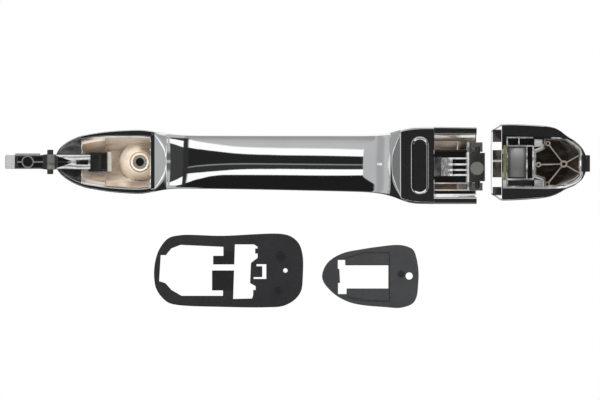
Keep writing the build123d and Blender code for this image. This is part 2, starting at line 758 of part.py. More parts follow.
# floor: x, z
frame_outline = [
    (-205.3, -11.0), (-205.3, 11.4), (-221.6, 10.4), (-221.6, 7.1), (-217.7, 5.6),
    (-217.7, -7.0), (-221.6, -8.1), (-221.6, -11.0),
]
# walls: front x, rear x, bottom z, top z, rise above the floor
frame_walls = [
    # channel walls
    (-205.4, -217.2, 10.7, 11.3, 6.6), (-205.4, -217.2, 6.9, 7.6, 6.4),
    (-205.4, -217.2, -8.2, -7.4, 6.4), (-205.4, -217.2, -11.4, -10.8, 6.6),
    # cross walls, from front to rear
    (-205.3, -205.9, -11.2, 11.4, 6.0), (-210.6, -211.1, 7.0, 11.5, 5.2),
    (-214.1, -214.7, -8.0, 7.4, 5.6), (-216.9, -217.6, -8.0, 7.4, 6.4),
]

with BuildPart() as cap_frame:
    with BuildSketch(at_depth(frame_depth + frame_floor_t)):
        outline(frame_outline)
    extrude(amount=-frame_floor_t)
    for x0, x1, z0, z1, rise in frame_walls:
        with BuildSketch(at_depth(frame_depth + wall_root)):
            rect(x0, x1, z0, z1)
        extrude(amount=-rise - wall_root)
    add(cap_room, mode=Mode.INTERSECT)
save(cap_frame, "cap_frame")

# ---------------------------------------------------------------------------
# 18  cap saddle: curved grey plate between the channels
# ---------------------------------------------------------------------------
insert_y = door_y - frame_depth + insert_clear    # outer side of the saddle and clips
saddle_front = (-206.1, door_y - 3.6)             # x, y
saddle_crest = (-209.6, door_y - 1.6)
saddle_rear = (-213.9, door_y - 3.2)

with BuildPart() as cap_saddle:
    with BuildSketch(Plane.XY.offset(-6.9)):
        with BuildLine():
            Polyline((saddle_front[0], insert_y), saddle_front)
            ThreePointArc(saddle_front, saddle_crest, saddle_rear)
            Polyline(saddle_rear, (saddle_rear[0], insert_y), (saddle_front[0], insert_y))
        make_face()
    extrude(amount=13.3)
save(cap_saddle, "cap_saddle")

# ---------------------------------------------------------------------------
# 19  two snap clips at the rear ends of the channels
# ---------------------------------------------------------------------------
# side profile with the hook at the door end: x, y
clip_profile = [
    (-217.8, insert_y), (-217.8, door_y - 0.6), (-221.5, door_y - 1.2),
    (-221.5, door_y - 2.6), (-219.2, door_y - 2.2), (-219.2, insert_y),
]
clip_spans = [(6.9, 10.2), (-10.8, -7.9)]         # bottom z, top z

with BuildPart() as cap_clips:
    for z0, z1 in clip_spans:
        with BuildSketch(Plane.XY.offset(z0)):
            outline(clip_profile)
        extrude(amount=z1 - z0)
save(cap_clips, "cap_clips")

# ---------------------------------------------------------------------------
# 20  edge strip: soft olive strip along the front edge of the opening
# ---------------------------------------------------------------------------
with BuildPart() as cap_edge_strip:
    with BuildSketch(at_depth(6.0)):
        rect(strip_front_x, -205.1, -8.2, 7.5)
    extrude(amount=-5.8)
    add(cap_room, mode=Mode.INTERSECT)
save(cap_edge_strip, "cap_edge_strip")

# ---------------------------------------------------------------------------
# 21  locating tab at the rear of the cap
# ---------------------------------------------------------------------------
with BuildPart() as cap_tab:
    with BuildSketch(at_depth(2.4)):
        rect(-238.9, -242.8, -4.4, 3.1)
    extrude(amount=-2.0)
save(cap_tab, "cap_tab")

# ---------------------------------------------------------------------------
# 22, 23  gaskets, laid out below the handle in the plane of the door
# ---------------------------------------------------------------------------
gasket_t = 1.2
# all outlines: x, z
rear_gasket_outline = [
    (-58.6, -32.9), (-52.9, -34.4), (-48.9, -39.4), (-47.1, -44.9), (-46.6, -51.3),
    (-47.5, -56.8), (-49.8, -60.5), (-53.1, -63.3), (-57.6, -64.4), (-76.7, -65.2),
    (-97.4, -65.4), (-104.6, -64.8), (-109.6, -62.2), (-112.7, -58.2), (-113.6, -50.5),
    (-113.5, -42.1), (-111.9, -36.9), (-108.9, -33.9), (-104.5, -32.4), (-76.7, -33.2),
]
# main opening with its two tongues
rear_gasket_opening = [
    (-49.6, -41.9), (-48.9, -53.6), (-51.7, -54.5), (-54.5, -57.6), (-59.0, -60.2),
    (-77.6, -60.2), (-77.6, -57.8), (-72.7, -57.8), (-72.7, -48.8), (-83.0, -48.8),
    (-83.0, -46.1), (-73.2, -46.1), (-73.2, -42.2), (-77.8, -42.2), (-77.8, -38.2),
    (-58.5, -37.3), (-54.4, -38.9), (-51.9, -41.9),
]
rear_gasket_second = [
    (-83.0, -37.1), (-91.6, -37.1), (-93.2, -38.2), (-93.2, -38.9), (-92.1, -38.9),
    (-92.1, -41.2), (-93.2, -41.2), (-93.2, -43.1), (-90.2, -45.4), (-89.8, -54.5),
    (-92.3, -55.9), (-92.3, -57.6), (-91.2, -57.6), (-91.2, -59.8), (-90.7, -61.4),
    (-82.2, -61.6),
]
rear_gasket_hook = [
    (-92.7, -46.0), (-97.1, -46.0), (-97.1, -52.6), (-91.4, -52.6), (-91.4, -51.8),
    (-95.3, -51.8), (-95.3, -46.9), (-92.7, -46.9),
]
front_gasket_outline = [
    (-122.2, -51.5), (-123.1, -47.9), (-125.3, -44.7), (-128.9, -42.2), (-133.2, -40.5),
    (-139.6, -39.3), (-146.8, -38.2), (-156.5, -37.3), (-160.8, -38.1), (-163.3, -39.6),
    (-164.7, -43.2), (-165.6, -49.0), (-165.5, -54.4), (-164.7, -60.8), (-162.9, -63.7),
    (-157.6, -65.6), (-150.4, -65.3), (-139.6, -64.3), (-134.2, -63.0), (-128.9, -60.3),
    (-125.3, -57.2), (-123.1, -54.4),
]
front_gasket_opening = [
    (-130.0, -48.3), (-130.3, -54.4), (-129.4, -54.4), (-129.4, -59.4), (-133.2, -59.4),
    (-133.2, -56.9), (-152.0, -56.9), (-152.0, -46.5), (-132.6, -46.5), (-132.6, -44.1),
    (-129.3, -44.1), (-129.3, -47.9),
]


def blend(start, end, t_start, t_end, t):
    """Point on the line that passes start at t_start and end at t_end."""
    return tuple(((t_end - t) * start[c] + (t - t_start) * end[c]) / (t_end - t_start)
                 for c in (0, 1))


def smooth_closed(corners, steps=4):
    """Points of a closed centripetal curve through the corners, with no overshoot."""
    points, count = [], len(corners)
    for i in range(count):
        p0, p1, p2, p3 = (corners[(i + k - 1) % count] for k in range(4))
        knots = [0.0]
        for start, end in ((p0, p1), (p1, p2), (p2, p3)):
            knots.append(knots[-1] + math.hypot(end[0] - start[0], end[1] - start[1]) ** 0.5)
        t0, t1, t2, t3 = knots
        for k in range(steps):
            t = t1 + (t2 - t1) * k / steps
            before = blend(p0, p1, t0, t1, t)
            between = blend(p1, p2, t1, t2, t)
            after = blend(p2, p3, t2, t3, t)
            points.append(blend(blend(before, between, t0, t2, t),
                                blend(between, after, t1, t3, t), t1, t2, t))
    return points


def make_gasket(edge, openings, hole, hole_r, pips, pip_r, pip_length):
    """Flat gasket with openings, one round hole and round locating pips."""
    with BuildPart() as gasket:
        with BuildSketch(at_y(door_y)):
            with BuildLine():
                Spline(*smooth_closed(edge), periodic=True)
            make_face()
        extrude(amount=-gasket_t)
        with BuildSketch(at_depth(1.0)):
            for opening in openings:
                outline(opening)
            with Locations(hole):
                Circle(hole_r)
        extrude(amount=-4.0, mode=Mode.SUBTRACT)
        with BuildSketch(at_depth(-0.6)):
            with Locations(*pips):
                Circle(pip_r)
        extrude(amount=-pip_length)
    return gasket


rear_gasket = make_gasket(
    rear_gasket_outline, [rear_gasket_opening, rear_gasket_second, rear_gasket_hook],
    hole=(-105.7, -48.8), hole_r=1.0,
    pips=[(-103.5, -42.1), (-102.2, -57.7)], pip_r=2.1, pip_length=1.2)
save(rear_gasket, "rear_gasket")

front_gasket = make_gasket(
    front_gasket_outline, [front_gasket_opening],
    hole=(-161.4, -51.3), hole_r=1.6,
    pips=[(-157.6, -50.4)], pip_r=1.1, pip_length=1.1)
save(front_gasket, "front_gasket")
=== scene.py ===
"""A plated door handle: grip with two feet, pivot arm, latch leg, end cap and gaskets.

It lies in the row frame of the CAD pieces. The handle runs along x, from the pivot foot near
x = 0 to the latch foot near x = -190 mm, and the end cap goes on to x = -241 mm. z is up.
The door side faces +y; the outer face bulges towards -y. Lengths are in millimetres unless
said otherwise, and become metres in mesh_obj.
"""
import bpy
import bmesh
import json
import math
from functools import cached_property
import numpy as np
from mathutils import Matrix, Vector

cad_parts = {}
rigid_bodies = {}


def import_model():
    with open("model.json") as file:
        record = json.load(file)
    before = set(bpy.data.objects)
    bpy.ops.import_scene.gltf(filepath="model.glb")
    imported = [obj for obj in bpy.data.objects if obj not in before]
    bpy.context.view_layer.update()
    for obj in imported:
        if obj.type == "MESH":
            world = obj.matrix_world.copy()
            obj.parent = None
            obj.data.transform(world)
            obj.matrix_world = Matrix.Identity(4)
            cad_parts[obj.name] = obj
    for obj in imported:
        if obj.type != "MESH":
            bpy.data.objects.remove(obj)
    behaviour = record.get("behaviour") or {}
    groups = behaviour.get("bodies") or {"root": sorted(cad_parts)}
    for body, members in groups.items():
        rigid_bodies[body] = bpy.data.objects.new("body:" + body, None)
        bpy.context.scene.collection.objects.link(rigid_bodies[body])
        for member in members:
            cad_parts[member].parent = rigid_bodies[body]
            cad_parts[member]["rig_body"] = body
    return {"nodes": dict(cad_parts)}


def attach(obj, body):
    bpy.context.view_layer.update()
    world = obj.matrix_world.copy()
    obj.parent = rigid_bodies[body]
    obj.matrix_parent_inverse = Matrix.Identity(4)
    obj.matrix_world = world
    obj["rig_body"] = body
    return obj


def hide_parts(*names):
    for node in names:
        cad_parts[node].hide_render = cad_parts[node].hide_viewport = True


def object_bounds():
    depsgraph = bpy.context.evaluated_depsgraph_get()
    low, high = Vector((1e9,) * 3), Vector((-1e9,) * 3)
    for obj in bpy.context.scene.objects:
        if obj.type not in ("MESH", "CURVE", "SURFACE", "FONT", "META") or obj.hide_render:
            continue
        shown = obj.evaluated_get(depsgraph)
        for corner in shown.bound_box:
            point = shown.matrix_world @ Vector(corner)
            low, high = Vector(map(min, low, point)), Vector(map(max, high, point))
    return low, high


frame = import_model()
pieces = frame["nodes"]
cad_lo, cad_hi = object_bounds()
scene = bpy.context.scene

MM = 0.001
DOOR = -6.0          # y of the door plane


# --------------------------------------------------------------------------
# numeric helpers
# --------------------------------------------------------------------------
def pchip(known_x, known_y, query):
    """Monotone cubic through the known points; known_x may fall."""
    xs, ys = np.asarray(known_x, float), np.asarray(known_y, float)
    if xs[0] > xs[-1]:
        xs, ys = xs[::-1], ys[::-1]
    gap = np.diff(xs)
    rate = np.diff(ys) / gap
    slope = np.zeros_like(ys)
    for i in range(1, len(xs) - 1):
        if rate[i - 1] * rate[i] > 0:
            before, after = 2 * gap[i] + gap[i - 1], gap[i] + 2 * gap[i - 1]
            slope[i] = (before + after) / (before / rate[i - 1] + after / rate[i])
    slope[0], slope[-1] = rate[0], rate[-1]
    q = np.clip(np.asarray(query, float), xs[0], xs[-1])
    k = np.clip(np.searchsorted(xs, q, side="right") - 1, 0, len(gap) - 1)
    t = (q - xs[k]) / gap[k]
    return (ys[k] * (2 * t**3 - 3 * t**2 + 1) + slope[k] * gap[k] * (t**3 - 2 * t**2 + t)
            + ys[k + 1] * (-2 * t**3 + 3 * t**2) + slope[k + 1] * gap[k] * (t**3 - t**2))


def blur(values, sigma):
    """Gaussian blur with held ends; sigma in samples."""
    reach = int(3 * sigma) + 1
    kernel = np.exp(-0.5 * (np.arange(-reach, reach + 1) / sigma) ** 2)
    kernel /= kernel.sum()
    padded = np.concatenate([np.repeat(values[:1], reach), values, np.repeat(values[-1:], reach)])
    return np.convolve(padded, kernel, "valid")


def smoothstep(start, end, x):
    t = np.clip((np.asarray(x, float) - start) / (end - start), 0, 1)
    return t * t * (3 - 2 * t)


def lerp(a, b, weight):
    return a * (1 - weight) + b * weight


def smooth_min(a, b, width):
    """Minimum of a and b with the corner rounded over width."""
    h = np.clip(0.5 + 0.5 * (b - a) / width, 0, 1)
    return b * (1 - h) + a * h - width * h * (1 - h)


# --------------------------------------------------------------------------
# mesh helpers
# --------------------------------------------------------------------------
def mesh_obj(name, verts, faces, body, material, sharp_deg=None):
    """Object from vertices in millimetres; flat shaded unless sharp_deg is given."""
    mesh = bpy.data.meshes.new(name)
    mesh.from_pydata([tuple(float(c) * MM for c in v) for v in verts], [],
                     [tuple(int(i) for i in f) for f in faces])
    mesh.validate()
    bm = bmesh.new()
    bm.from_mesh(mesh)
    bmesh.ops.remove_doubles(bm, verts=bm.verts, dist=1e-7)
    bmesh.ops.recalc_face_normals(bm, faces=bm.faces)
    bm.to_mesh(mesh)
    bm.free()
    ob = bpy.data.objects.new(name, mesh)
    scene.collection.objects.link(ob)
    mesh.materials.append(material)
    if sharp_deg:
        mesh.polygons.foreach_set("use_smooth", [True] * len(mesh.polygons))
        mesh.set_sharp_from_angle(angle=math.radians(sharp_deg))
    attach(ob, body)
    return ob


def grid_faces(nu, nv, base=0, close_v=False, close_u=False):
    """Quads over nu rows of nv vertices, the first of them at index base."""
    faces = []
    for i in range(nu - (0 if close_u else 1)):
        for j in range(nv - (0 if close_v else 1)):
            this_row, next_row = base + i * nv, base + ((i + 1) % nu) * nv
            nj = (j + 1) % nv
            faces.append((this_row + j, this_row + nj, next_row + nj, next_row + j))
    return faces


def closed_block(upper, lower):
    """Vertices and faces of a block between two grids of points of the same size."""
    nu, nv = len(upper), len(upper[0])
    verts = [p for row in upper for p in row] + [p for row in lower for p in row]
    off = nu * nv
    faces = grid_faces(nu, nv) + [tuple(reversed(f)) for f in grid_faces(nu, nv, base=off)]
    for i in range(nu - 1):
        a, b = i * nv, (i + 1) * nv
        faces.append((a, b, off + b, off + a))
        a, b = a + nv - 1, b + nv - 1
        faces.append((a, off + a, off + b, b))
    last = (nu - 1) * nv
    for j in range(nv - 1):
        faces.append((j, off + j, off + j + 1, j + 1))
        k = last + j
        faces.append((k, k + 1, off + k + 1, off + k))
    return verts, faces


# --------------------------------------------------------------------------
# shader node helpers
# --------------------------------------------------------------------------
class Value:
    """An output socket, so that node arithmetic reads as ordinary arithmetic."""

    def __init__(self, tree, socket):
        self.tree, self.socket = tree, socket

    def __add__(self, other):
        return maths("ADD", self, other)

    def __radd__(self, other):
        return maths("ADD", other, self)

    def __sub__(self, other):
        return maths("SUBTRACT", self, other)

    def __rsub__(self, other):
        return maths("SUBTRACT", other, self)

    def __mul__(self, other):
        return maths("MULTIPLY", self, other)

    def __rmul__(self, other):
        return maths("MULTIPLY", other, self)

    def __truediv__(self, other):
        return maths("DIVIDE", self, other)

    def __abs__(self):
        return maths("ABSOLUTE", self)


def rgba(colour):
    """A colour with full alpha; a single number is a grey."""
    return (colour, colour, colour, 1) if np.isscalar(colour) else (*colour, 1)


def feed(target, value):
    """Link a Value to an input socket, or set the socket to a plain value."""
    if isinstance(value, Value):
        value.tree.links.new(value.socket, target)
    else:
        target.default_value = rgba(value) if target.type == "RGBA" else value


def make(tree, kind, inputs=(), out=0, **settings):
    """Add a node, set and feed it, and return one of its outputs."""
    node = tree.nodes.new(kind)
    for name, value in settings.items():
        setattr(node, name, value)
    for key, value in dict(inputs).items():
        feed(node.inputs[key], value)
    return Value(tree, node.outputs[out])


def maths(kind, *operands):
    tree = next(v.tree for v in operands if isinstance(v, Value))
    return make(tree, "ShaderNodeMath", dict(enumerate(operands)), operation=kind)


def maximum(a, b):
    return maths("MAXIMUM", a, b)


def minimum(a, b):
    return maths("MINIMUM", a, b)


def above(value, edge, soft=0.06):
    """Mask: 0 below the edge, 1 above it, soft to either side."""
    return make(value.tree, "ShaderNodeMapRange",
                {"Value": value - edge, "From Min": -soft, "From Max": soft},
                interpolation_type="SMOOTHSTEP")


def below(value, edge, soft=0.06):
    return 1.0 - above(value, edge, soft)


def band(value, low, high, soft=0.06):
    return above(value, low, soft) * below(value, high, soft)


def mix(mask, base, over):
    """Colour base, covered by colour over where the mask is 1."""
    return make(mask.tree, "ShaderNodeMix", {0: mask, 6: base, 7: over}, out=2,
                data_type="RGBA")


def mix_level(mask, base, over):
    """As mix, for plain numbers."""
    return make(mask.tree, "ShaderNodeMix", {0: mask, 2: base, 3: over}, data_type="FLOAT")


def split(vector):
    node = vector.tree.nodes.new("ShaderNodeSeparateXYZ")
    feed(node.inputs[0], vector)
    return [Value(vector.tree, s) for s in node.outputs]


def object_vector(tree, scale=(1.0, 1.0, 1.0)):
    return make(tree, "ShaderNodeMapping",
                {"Vector": make(tree, "ShaderNodeTexCoord", out="Object"), "Scale": scale})


def noise(vector, scale, detail=3.0, rough=0.5, distortion=0.0):
    return make(vector.tree, "ShaderNodeTexNoise",
                {"Vector": vector, "Scale": scale, "Detail": detail, "Roughness": rough,
                 "Distortion": distortion}, out="Fac")


def ramp(factor, *stops):
    """Colour ramp with stops (position, colour or grey)."""
    node = factor.tree.nodes.new("ShaderNodeValToRGB")
    elements = node.color_ramp.elements
    elements.remove(elements[-1])
    elements[0].position, elements[0].color = stops[0][0], rgba(stops[0][1])
    for position, colour in stops[1:]:
        elements.new(position).color = rgba(colour)
    feed(node.inputs["Fac"], factor)
    return Value(factor.tree, node.outputs["Color"])


def rescale(value, source, target=(0.0, 1.0)):
    """Map the range source onto the range target, held at its ends."""
    return make(value.tree, "ShaderNodeMapRange",
                {"Value": value, "From Min": source[0], "From Max": source[1],
                 "To Min": target[0], "To Max": target[1]})


class Surface:
    """A surface point: its place in millimetres and the noises laid over the piece.

    Nodes are made when first asked for, and shared from then on."""

    def __init__(self, tree):
        self.tree = tree

    @cached_property
    def vector(self):
        return object_vector(self.tree)

    @cached_property
    def place(self):
        return split(make(self.tree, "ShaderNodeTexCoord", out="Object"))

    @cached_property
    def x(self):
        return self.place[0] * 1000.0

    @cached_property
    def y(self):
        return self.place[1] * 1000.0

    @cached_property
    def z(self):
        return self.place[2] * 1000.0

    @cached_property
    def mottle(self):
        return noise(self.vector, 160, detail=4.0)

    @cached_property
    def streaks(self):
        stretched = object_vector(self.tree, scale=(0.35, 1.0, 1.6))
        return noise(stretched, 210, detail=4.0, rough=0.6, distortion=0.6)

    def facing(self):
        """How squarely the surface faces the door."""
        return split(make(self.tree, "ShaderNodeNewGeometry", out="True Normal"))[1]

    def distance(self, x, z):
        a, b = self.x - x, self.z - z
        return maths("SQRT", a * a + b * b)


# --------------------------------------------------------------------------
# kinds of material
# --------------------------------------------------------------------------
def new_material(name):
    material = bpy.data.materials.new(name)
    material.use_nodes = True
    tree = material.node_tree
    return material, tree, next(n for n in tree.nodes if n.type == "BSDF_PRINCIPLED")


def chrome(name, tint=(0.86, 0.87, 0.88), rough=(0.025, 0.06)):
    """Plating: near-mirror, with faint haze and fine scuffs; rough is a range."""
    material, tree, shader = new_material(name)
    haze = noise(object_vector(tree), 90, detail=2.0)
    scuffs = noise(object_vector(tree), 2600, detail=3.0, rough=0.6)
    shader.inputs["Metallic"].default_value = 1.0
    # the plain tint is what stays if the ramp is unlinked
    feed(shader.inputs["Base Color"], tint)
    feed(shader.inputs["Base Color"], ramp(haze, (0.3, tuple(t * 0.965 for t in tint)), (0.7, tint)))
    # the outer face is softer than the door side
    normal_y = split(make(tree, "ShaderNodeNewGeometry", out="Normal"))[1]
    feed(shader.inputs["Roughness"],
         rescale(scuffs, source=(0.35, 0.75), target=rough)
         + rescale(normal_y, source=(-0.02, -0.16), target=(0.0, 0.19)))
    return material


def facet_chrome(name):
    """Plating whose inclined end has the reflection of the handle's latch end painted into its
    colour.
    """
    material = chrome(name)
    tree = material.node_tree
    shader = next(n for n in tree.nodes if n.type == "BSDF_PRINCIPLED")
    at = Surface(tree)
    plate = Value(tree, shader.inputs["Base Color"].links[0].from_socket)
    # dark of the painted reflection
    dark = ramp(noise(at.vector, 260, detail=2.0),
                (0.40, (0.02, 0.017, 0.014)), (0.60, (0.07, 0.06, 0.055)))
    facet = above(at.x, -202.95, 0.05) * above(at.facing(), 0.3, 0.1)
    # painted reflection on the facet: dark, with a narrow grey bar across the middle; two bands and
    # the border stay plated
    lit = maximum(band(at.z, 5.4, 9.0, 0.12), band(at.z, -11.2, -6.9, 0.12))
    reflection = mix(band(at.z, 0.0, 0.95, 0.1), dark, (0.36, 0.35, 0.34))
    border = maximum(above(at.x, -199.0, 0.1),
                     maximum(above(at.z, 14.6, 0.3), below(at.z, -15.0, 0.3)))
    keep = maximum(lit, border)
    feed(shader.inputs["Base Color"], mix(facet * (1.0 - keep), plate, reflection))
    return material


def moulding(name, paint, rough, grain, bumps, specular=0.5, coat=0.0, coat_rough=0.07):
    """A moulded piece coloured by paint(surface), with fine grain in roughness and relief."""
    material, tree, shader = new_material(name)
    at = Surface(tree)
    fine = noise(at.vector, grain, detail=2.0, rough=0.6)
    relief = make(tree, "ShaderNodeBump",
                  {"Strength": bumps, "Distance": 0.00012, "Height": fine}, out="Normal")
    for socket, value in (
            ("Base Color", paint(at)), ("Specular IOR Level", specular), ("Coat Weight", coat),
            ("Coat Roughness", coat_rough), ("Normal", relief),
            ("Roughness", rescale(fine, (0.3, 0.7), (rough * 0.85, rough * 1.15)))):
        feed(shader.inputs[socket], value)
    return material


def plastic(name, colour, rough, grain, bumps, spread):
    """One mottled colour (or grey), varying by the share spread."""
    colour = rgba(colour)[:3]

    def paint(at):
        return ramp(noise(at.vector, 140, detail=4.0),
                    (0.3, tuple(c * (1 - spread) for c in colour)),
                    (0.7, tuple(c * (1 + spread) for c in colour)))
    return moulding(name, paint, rough, grain, bumps, coat_rough=0.08)


# --------------------------------------------------------------------------
# colour layouts of the moulded pieces: masks take (value, edge or edges, softness) in mm,
# ramps take (position, colour), and a factor on a mask is the strength of that layer
# --------------------------------------------------------------------------
def paint_arm(at):
    x, y, z = at.x, at.y, at.z
    base = ramp(at.mottle, (0.3, 0.015), (0.7, (0.024, 0.024, 0.023)))
    # painted highlights on the rib, the ring rim and the edges on top of the body
    rib = band(z, -0.34, 0.34, 0.08) * band(x, 3.2, 14.8, 0.1)
    ring = band(at.distance(10.1, 0.05), 2.15, 2.85, 0.1)
    edge = above(abs(z), 2.75, 0.12) * above(x, 4.0, 0.2)
    top_highlights = above(y, 2.7, 0.1) * maximum(maximum(rib, ring), edge)
    base = mix(top_highlights * 0.85, base, (0.17, 0.17, 0.165))
    # streaked cross band
    cross = band(x, -2.0, 1.3, 0.15) * above(y, 2.5, 0.2)
    tone = ramp(at.streaks, (0.35, (0.05, 0.05, 0.042)), (0.65, (0.16, 0.16, 0.14)))
    base = mix(cross, base, tone)
    # painted highlight on the upper side strip
    base = mix(above(z, 3.2, 0.08) * above(x, 4.0, 0.2), base, (0.36, 0.36, 0.355))
    # painted reflection: bright and dark rails at the -x end, on top of two sloping faces and
    # outside a wedge
    slope_a = (x + 4.0) * 0.40 + 3.0
    slope_b = (x + 10.0) * 0.5316 + 0.6
    on_top = above(y, minimum(slope_a, slope_b) - 0.5, 0.15)
    off_axis = abs(z)
    rail_reflection = ramp(off_axis * 0.25 + (at.streaks - 0.5) * 0.7,
                (0.04, 0.12), (0.22, 0.40), (0.36, 0.66), (0.48, 0.14), (0.58, 0.30),
                (0.72, 0.68), (0.86, 0.22))
    wedge_half = minimum((x + 3.3) * 0.56 + 2.7, 2.7)
    wedge = above(off_axis - wedge_half, 0.0, 0.1)
    return mix(below(x, -2.2, 0.4) * on_top * wedge, base, rail_reflection)


def paint_front_core(at):
    x, y, z, streaks = at.x, at.y, at.z, at.streaks
    base = ramp(streaks, (0.24, (0.42, 0.31, 0.21)), (0.40, (0.58, 0.47, 0.36)),
                (0.55, (0.68, 0.59, 0.48)), (0.78, (0.74, 0.67, 0.57)))
    radius = at.distance(-40.2, 0.0)
    dome = ramp(streaks, (0.25, (0.72, 0.60, 0.46)), (0.6, (0.86, 0.76, 0.62)))
    base = mix(below(radius, 9.5, 0.3), base, dome)
    # painted shadow on the upper -x side of the dome and below it
    shade = band(radius, 4.6, 8.2, 1.4) * band(x, -45.5, -40.2, 1.4) * band(z, 0.8, 7.4, 1.8)
    base = mix(shade * 0.85, base, (0.16, 0.085, 0.045))
    low = band(z, -11.2, -8.3, 1.0) * band(x, -46.0, -35.0, 2.2)
    base = mix(low * 0.8, base, (0.20, 0.11, 0.06))
    # tan sides
    side = above(abs(z), 6.0, 0.8) * above(x, -26.0, 1.5)
    tan = ramp(streaks, (0.34, (0.44, 0.29, 0.18)), (0.58, (0.66, 0.50, 0.37)))
    base = mix(side * 0.6, base, tan)
    # the two flanks at the +x end, graded along x above and along z below
    tip = above(x, -24.6, 0.25)
    upper_flank = tip * above(z, 4.9, 0.1)
    colour = ramp(rescale(x, (-15.0, -24.5)),
                  (0.0, (0.50, 0.30, 0.18)), (0.35, (0.66, 0.47, 0.33)),
                  (0.7, (0.74, 0.60, 0.46)), (1.0, (0.50, 0.36, 0.25)))
    base = mix(upper_flank * 0.8, base, colour)
    lower_flank = tip * below(z, -4.9, 0.1)
    colour = ramp(rescale(z, (-5.0, -9.6)),
                  (0.0, (0.80, 0.70, 0.57)), (0.4, (0.66, 0.50, 0.36)),
                  (0.8, (0.24, 0.14, 0.08)), (1.0, (0.14, 0.08, 0.05)))
    base = mix(lower_flank * 0.8, base, colour)
    # painted shade in the groove round the hole, the raised border streaked dark with painted
    # glints, the cross lip, and painted shade in the hole itself
    ring = band(radius, 4.16, 4.62, 0.06) * above(x, -44.4, 0.2)
    base = mix(ring, base, (0.52, 0.41, 0.30))
    border = above(y, -6.9, 0.12)
    line = ramp(streaks, (0.40, (0.14, 0.11, 0.09)), (0.52, (0.62, 0.59, 0.55)),
                (0.60, (0.80, 0.78, 0.75)))
    base = mix(border, base, line)
    lip = band(x, -27.6, -25.4, 0.1) * band(z, -4.4, 4.6, 0.1) * above(y, -8.6, 0.1)
    base = mix(lip, base, (0.46, 0.43, 0.37))
    return mix(below(radius, 3.02, 0.05), base, (0.050, 0.040, 0.030))


def paint_nose(at):
    upper = ramp(at.streaks, (0.30, (0.045, 0.045, 0.046)), (0.5, (0.105, 0.105, 0.108)),
                 (0.7, (0.20, 0.20, 0.205)))
    lower = ramp(at.streaks, (0.35, (0.010, 0.010, 0.011)), (0.55, (0.028, 0.026, 0.027)),
                 (0.74, (0.12, 0.115, 0.115)))
    return mix(above(at.z, 0.0, 0.3), lower, upper)


def paint_insert(at):
    return ramp(at.mottle, (0.35, (0.15, 0.14, 0.125)), (0.65, (0.24, 0.225, 0.20)))


def paint_rear_core(at):
    x, z, streaks = at.x, at.z, at.streaks
    warm = ramp(streaks, (0.3, (0.34, 0.26, 0.18)), (0.5, (0.66, 0.57, 0.46)),
                (0.7, (0.80, 0.73, 0.63)))
    brown = ramp(streaks, (0.34, (0.05, 0.025, 0.012)), (0.62, (0.28, 0.155, 0.085)))
    bright = ramp(streaks, (0.30, (0.20, 0.15, 0.11)), (0.45, (0.72, 0.68, 0.63)),
                  (0.60, (0.85, 0.84, 0.82)))
    olive = ramp(streaks, (0.32, (0.04, 0.045, 0.035)), (0.60, (0.30, 0.31, 0.27)))
    black = ramp(at.mottle, (0.4, (0.010, 0.010, 0.009)), (0.7, (0.022, 0.021, 0.018)))
    # lengthwise bands from the top down; the black is painted as the dark reflection of the plated
    # walls, and the bright bands are painted highlights on the tops of the walls
    colour = mix(band(z, 10.15, 12.6), black, bright)
    colour = mix(band(z, 9.55, 10.15), colour, brown)
    beige = mix(above(x, -184.4, 0.9), olive, warm)
    colour = mix(band(z, 5.5, 9.55), colour, beige)
    # painted highlight on the top of the wall above the low channel
    colour = mix(band(z, -9.85, -9.2), colour, (0.52, 0.49, 0.45))
    # the low channel with its square pocket at the -x end
    pocket = mix(above(x, -182.9, 0.3), (0.50, 0.43, 0.40), brown)
    pocket = mix(above(x, -187.2, 0.15), black, pocket)
    colour = mix(band(z, -12.35, -9.85), colour, pocket)
    # painted highlight on the top of the wall below the low channel
    colour = mix(band(z, -12.95, -12.35), colour, (0.50, 0.47, 0.43))
    # speckled metal patch at the +x end
    patch = ramp(at.mottle, (0.36, 0.02), (0.5, 0.22), (0.62, (0.50, 0.50, 0.49)))
    colour = mix(above(x, -176.2, 0.2) * band(z, -6.3, 2.2, 0.5), colour, patch)
    # painted highlight on the top of the bottom wall
    return mix(band(z, -16.0, -14.3), colour, bright)


def paint_cap_core(at):
    floor_tone = ramp(at.streaks, (0.34, (0.008, 0.006, 0.004)), (0.52, (0.022, 0.015, 0.010)),
                      (0.68, (0.085, 0.055, 0.034)))
    wall = ramp(at.mottle, (0.35, (0.17, 0.14, 0.11)), (0.65, (0.29, 0.25, 0.21)))
    crest = ramp(at.streaks, (0.36, (0.05, 0.042, 0.032)), (0.54, (0.15, 0.13, 0.11)),
                 (0.68, (0.48, 0.45, 0.41)))
    edge = band(at.facing(), 0.2, 0.94, 0.03)
    # lighter higher up: painted highlights on the upper walls and their crests, lightest on the
    # rounded edges
    colour = mix(above(at.y, -7.9, 0.12), floor_tone, wall)
    colour = mix(above(at.y, -6.75, 0.1), colour, crest)
    return mix(edge * above(at.y, -6.9, 0.1), colour, (0.66, 0.64, 0.60))


def paint_cap_frame(at):
    black = ramp(at.mottle, (0.4, 0.008), (0.7, (0.02, 0.02, 0.019)))
    dim = ramp(at.streaks, (0.34, 0.05), (0.50, (0.20, 0.20, 0.195)), (0.64, (0.55, 0.55, 0.54)))
    light = ramp(at.streaks, (0.30, 0.22), (0.46, (0.60, 0.60, 0.59)),
                 (0.62, (0.85, 0.85, 0.84)))
    # painted highlights: greyer on the raised parts, lightest on their rounded edges
    high = above(at.y, -8.1, 0.12)
    colour = mix(high, black, dim)
    colour = mix(high * band(at.facing(), 0.2, 0.94, 0.03), colour, light)
    # deep strip low down at the +x end
    strip = band(at.z, -10.9, -7.6, 0.1) * above(at.x, -217.0, 0.1) * below(at.y, -9.0, 0.2)
    return mix(strip, colour, (0.075, 0.075, 0.073))


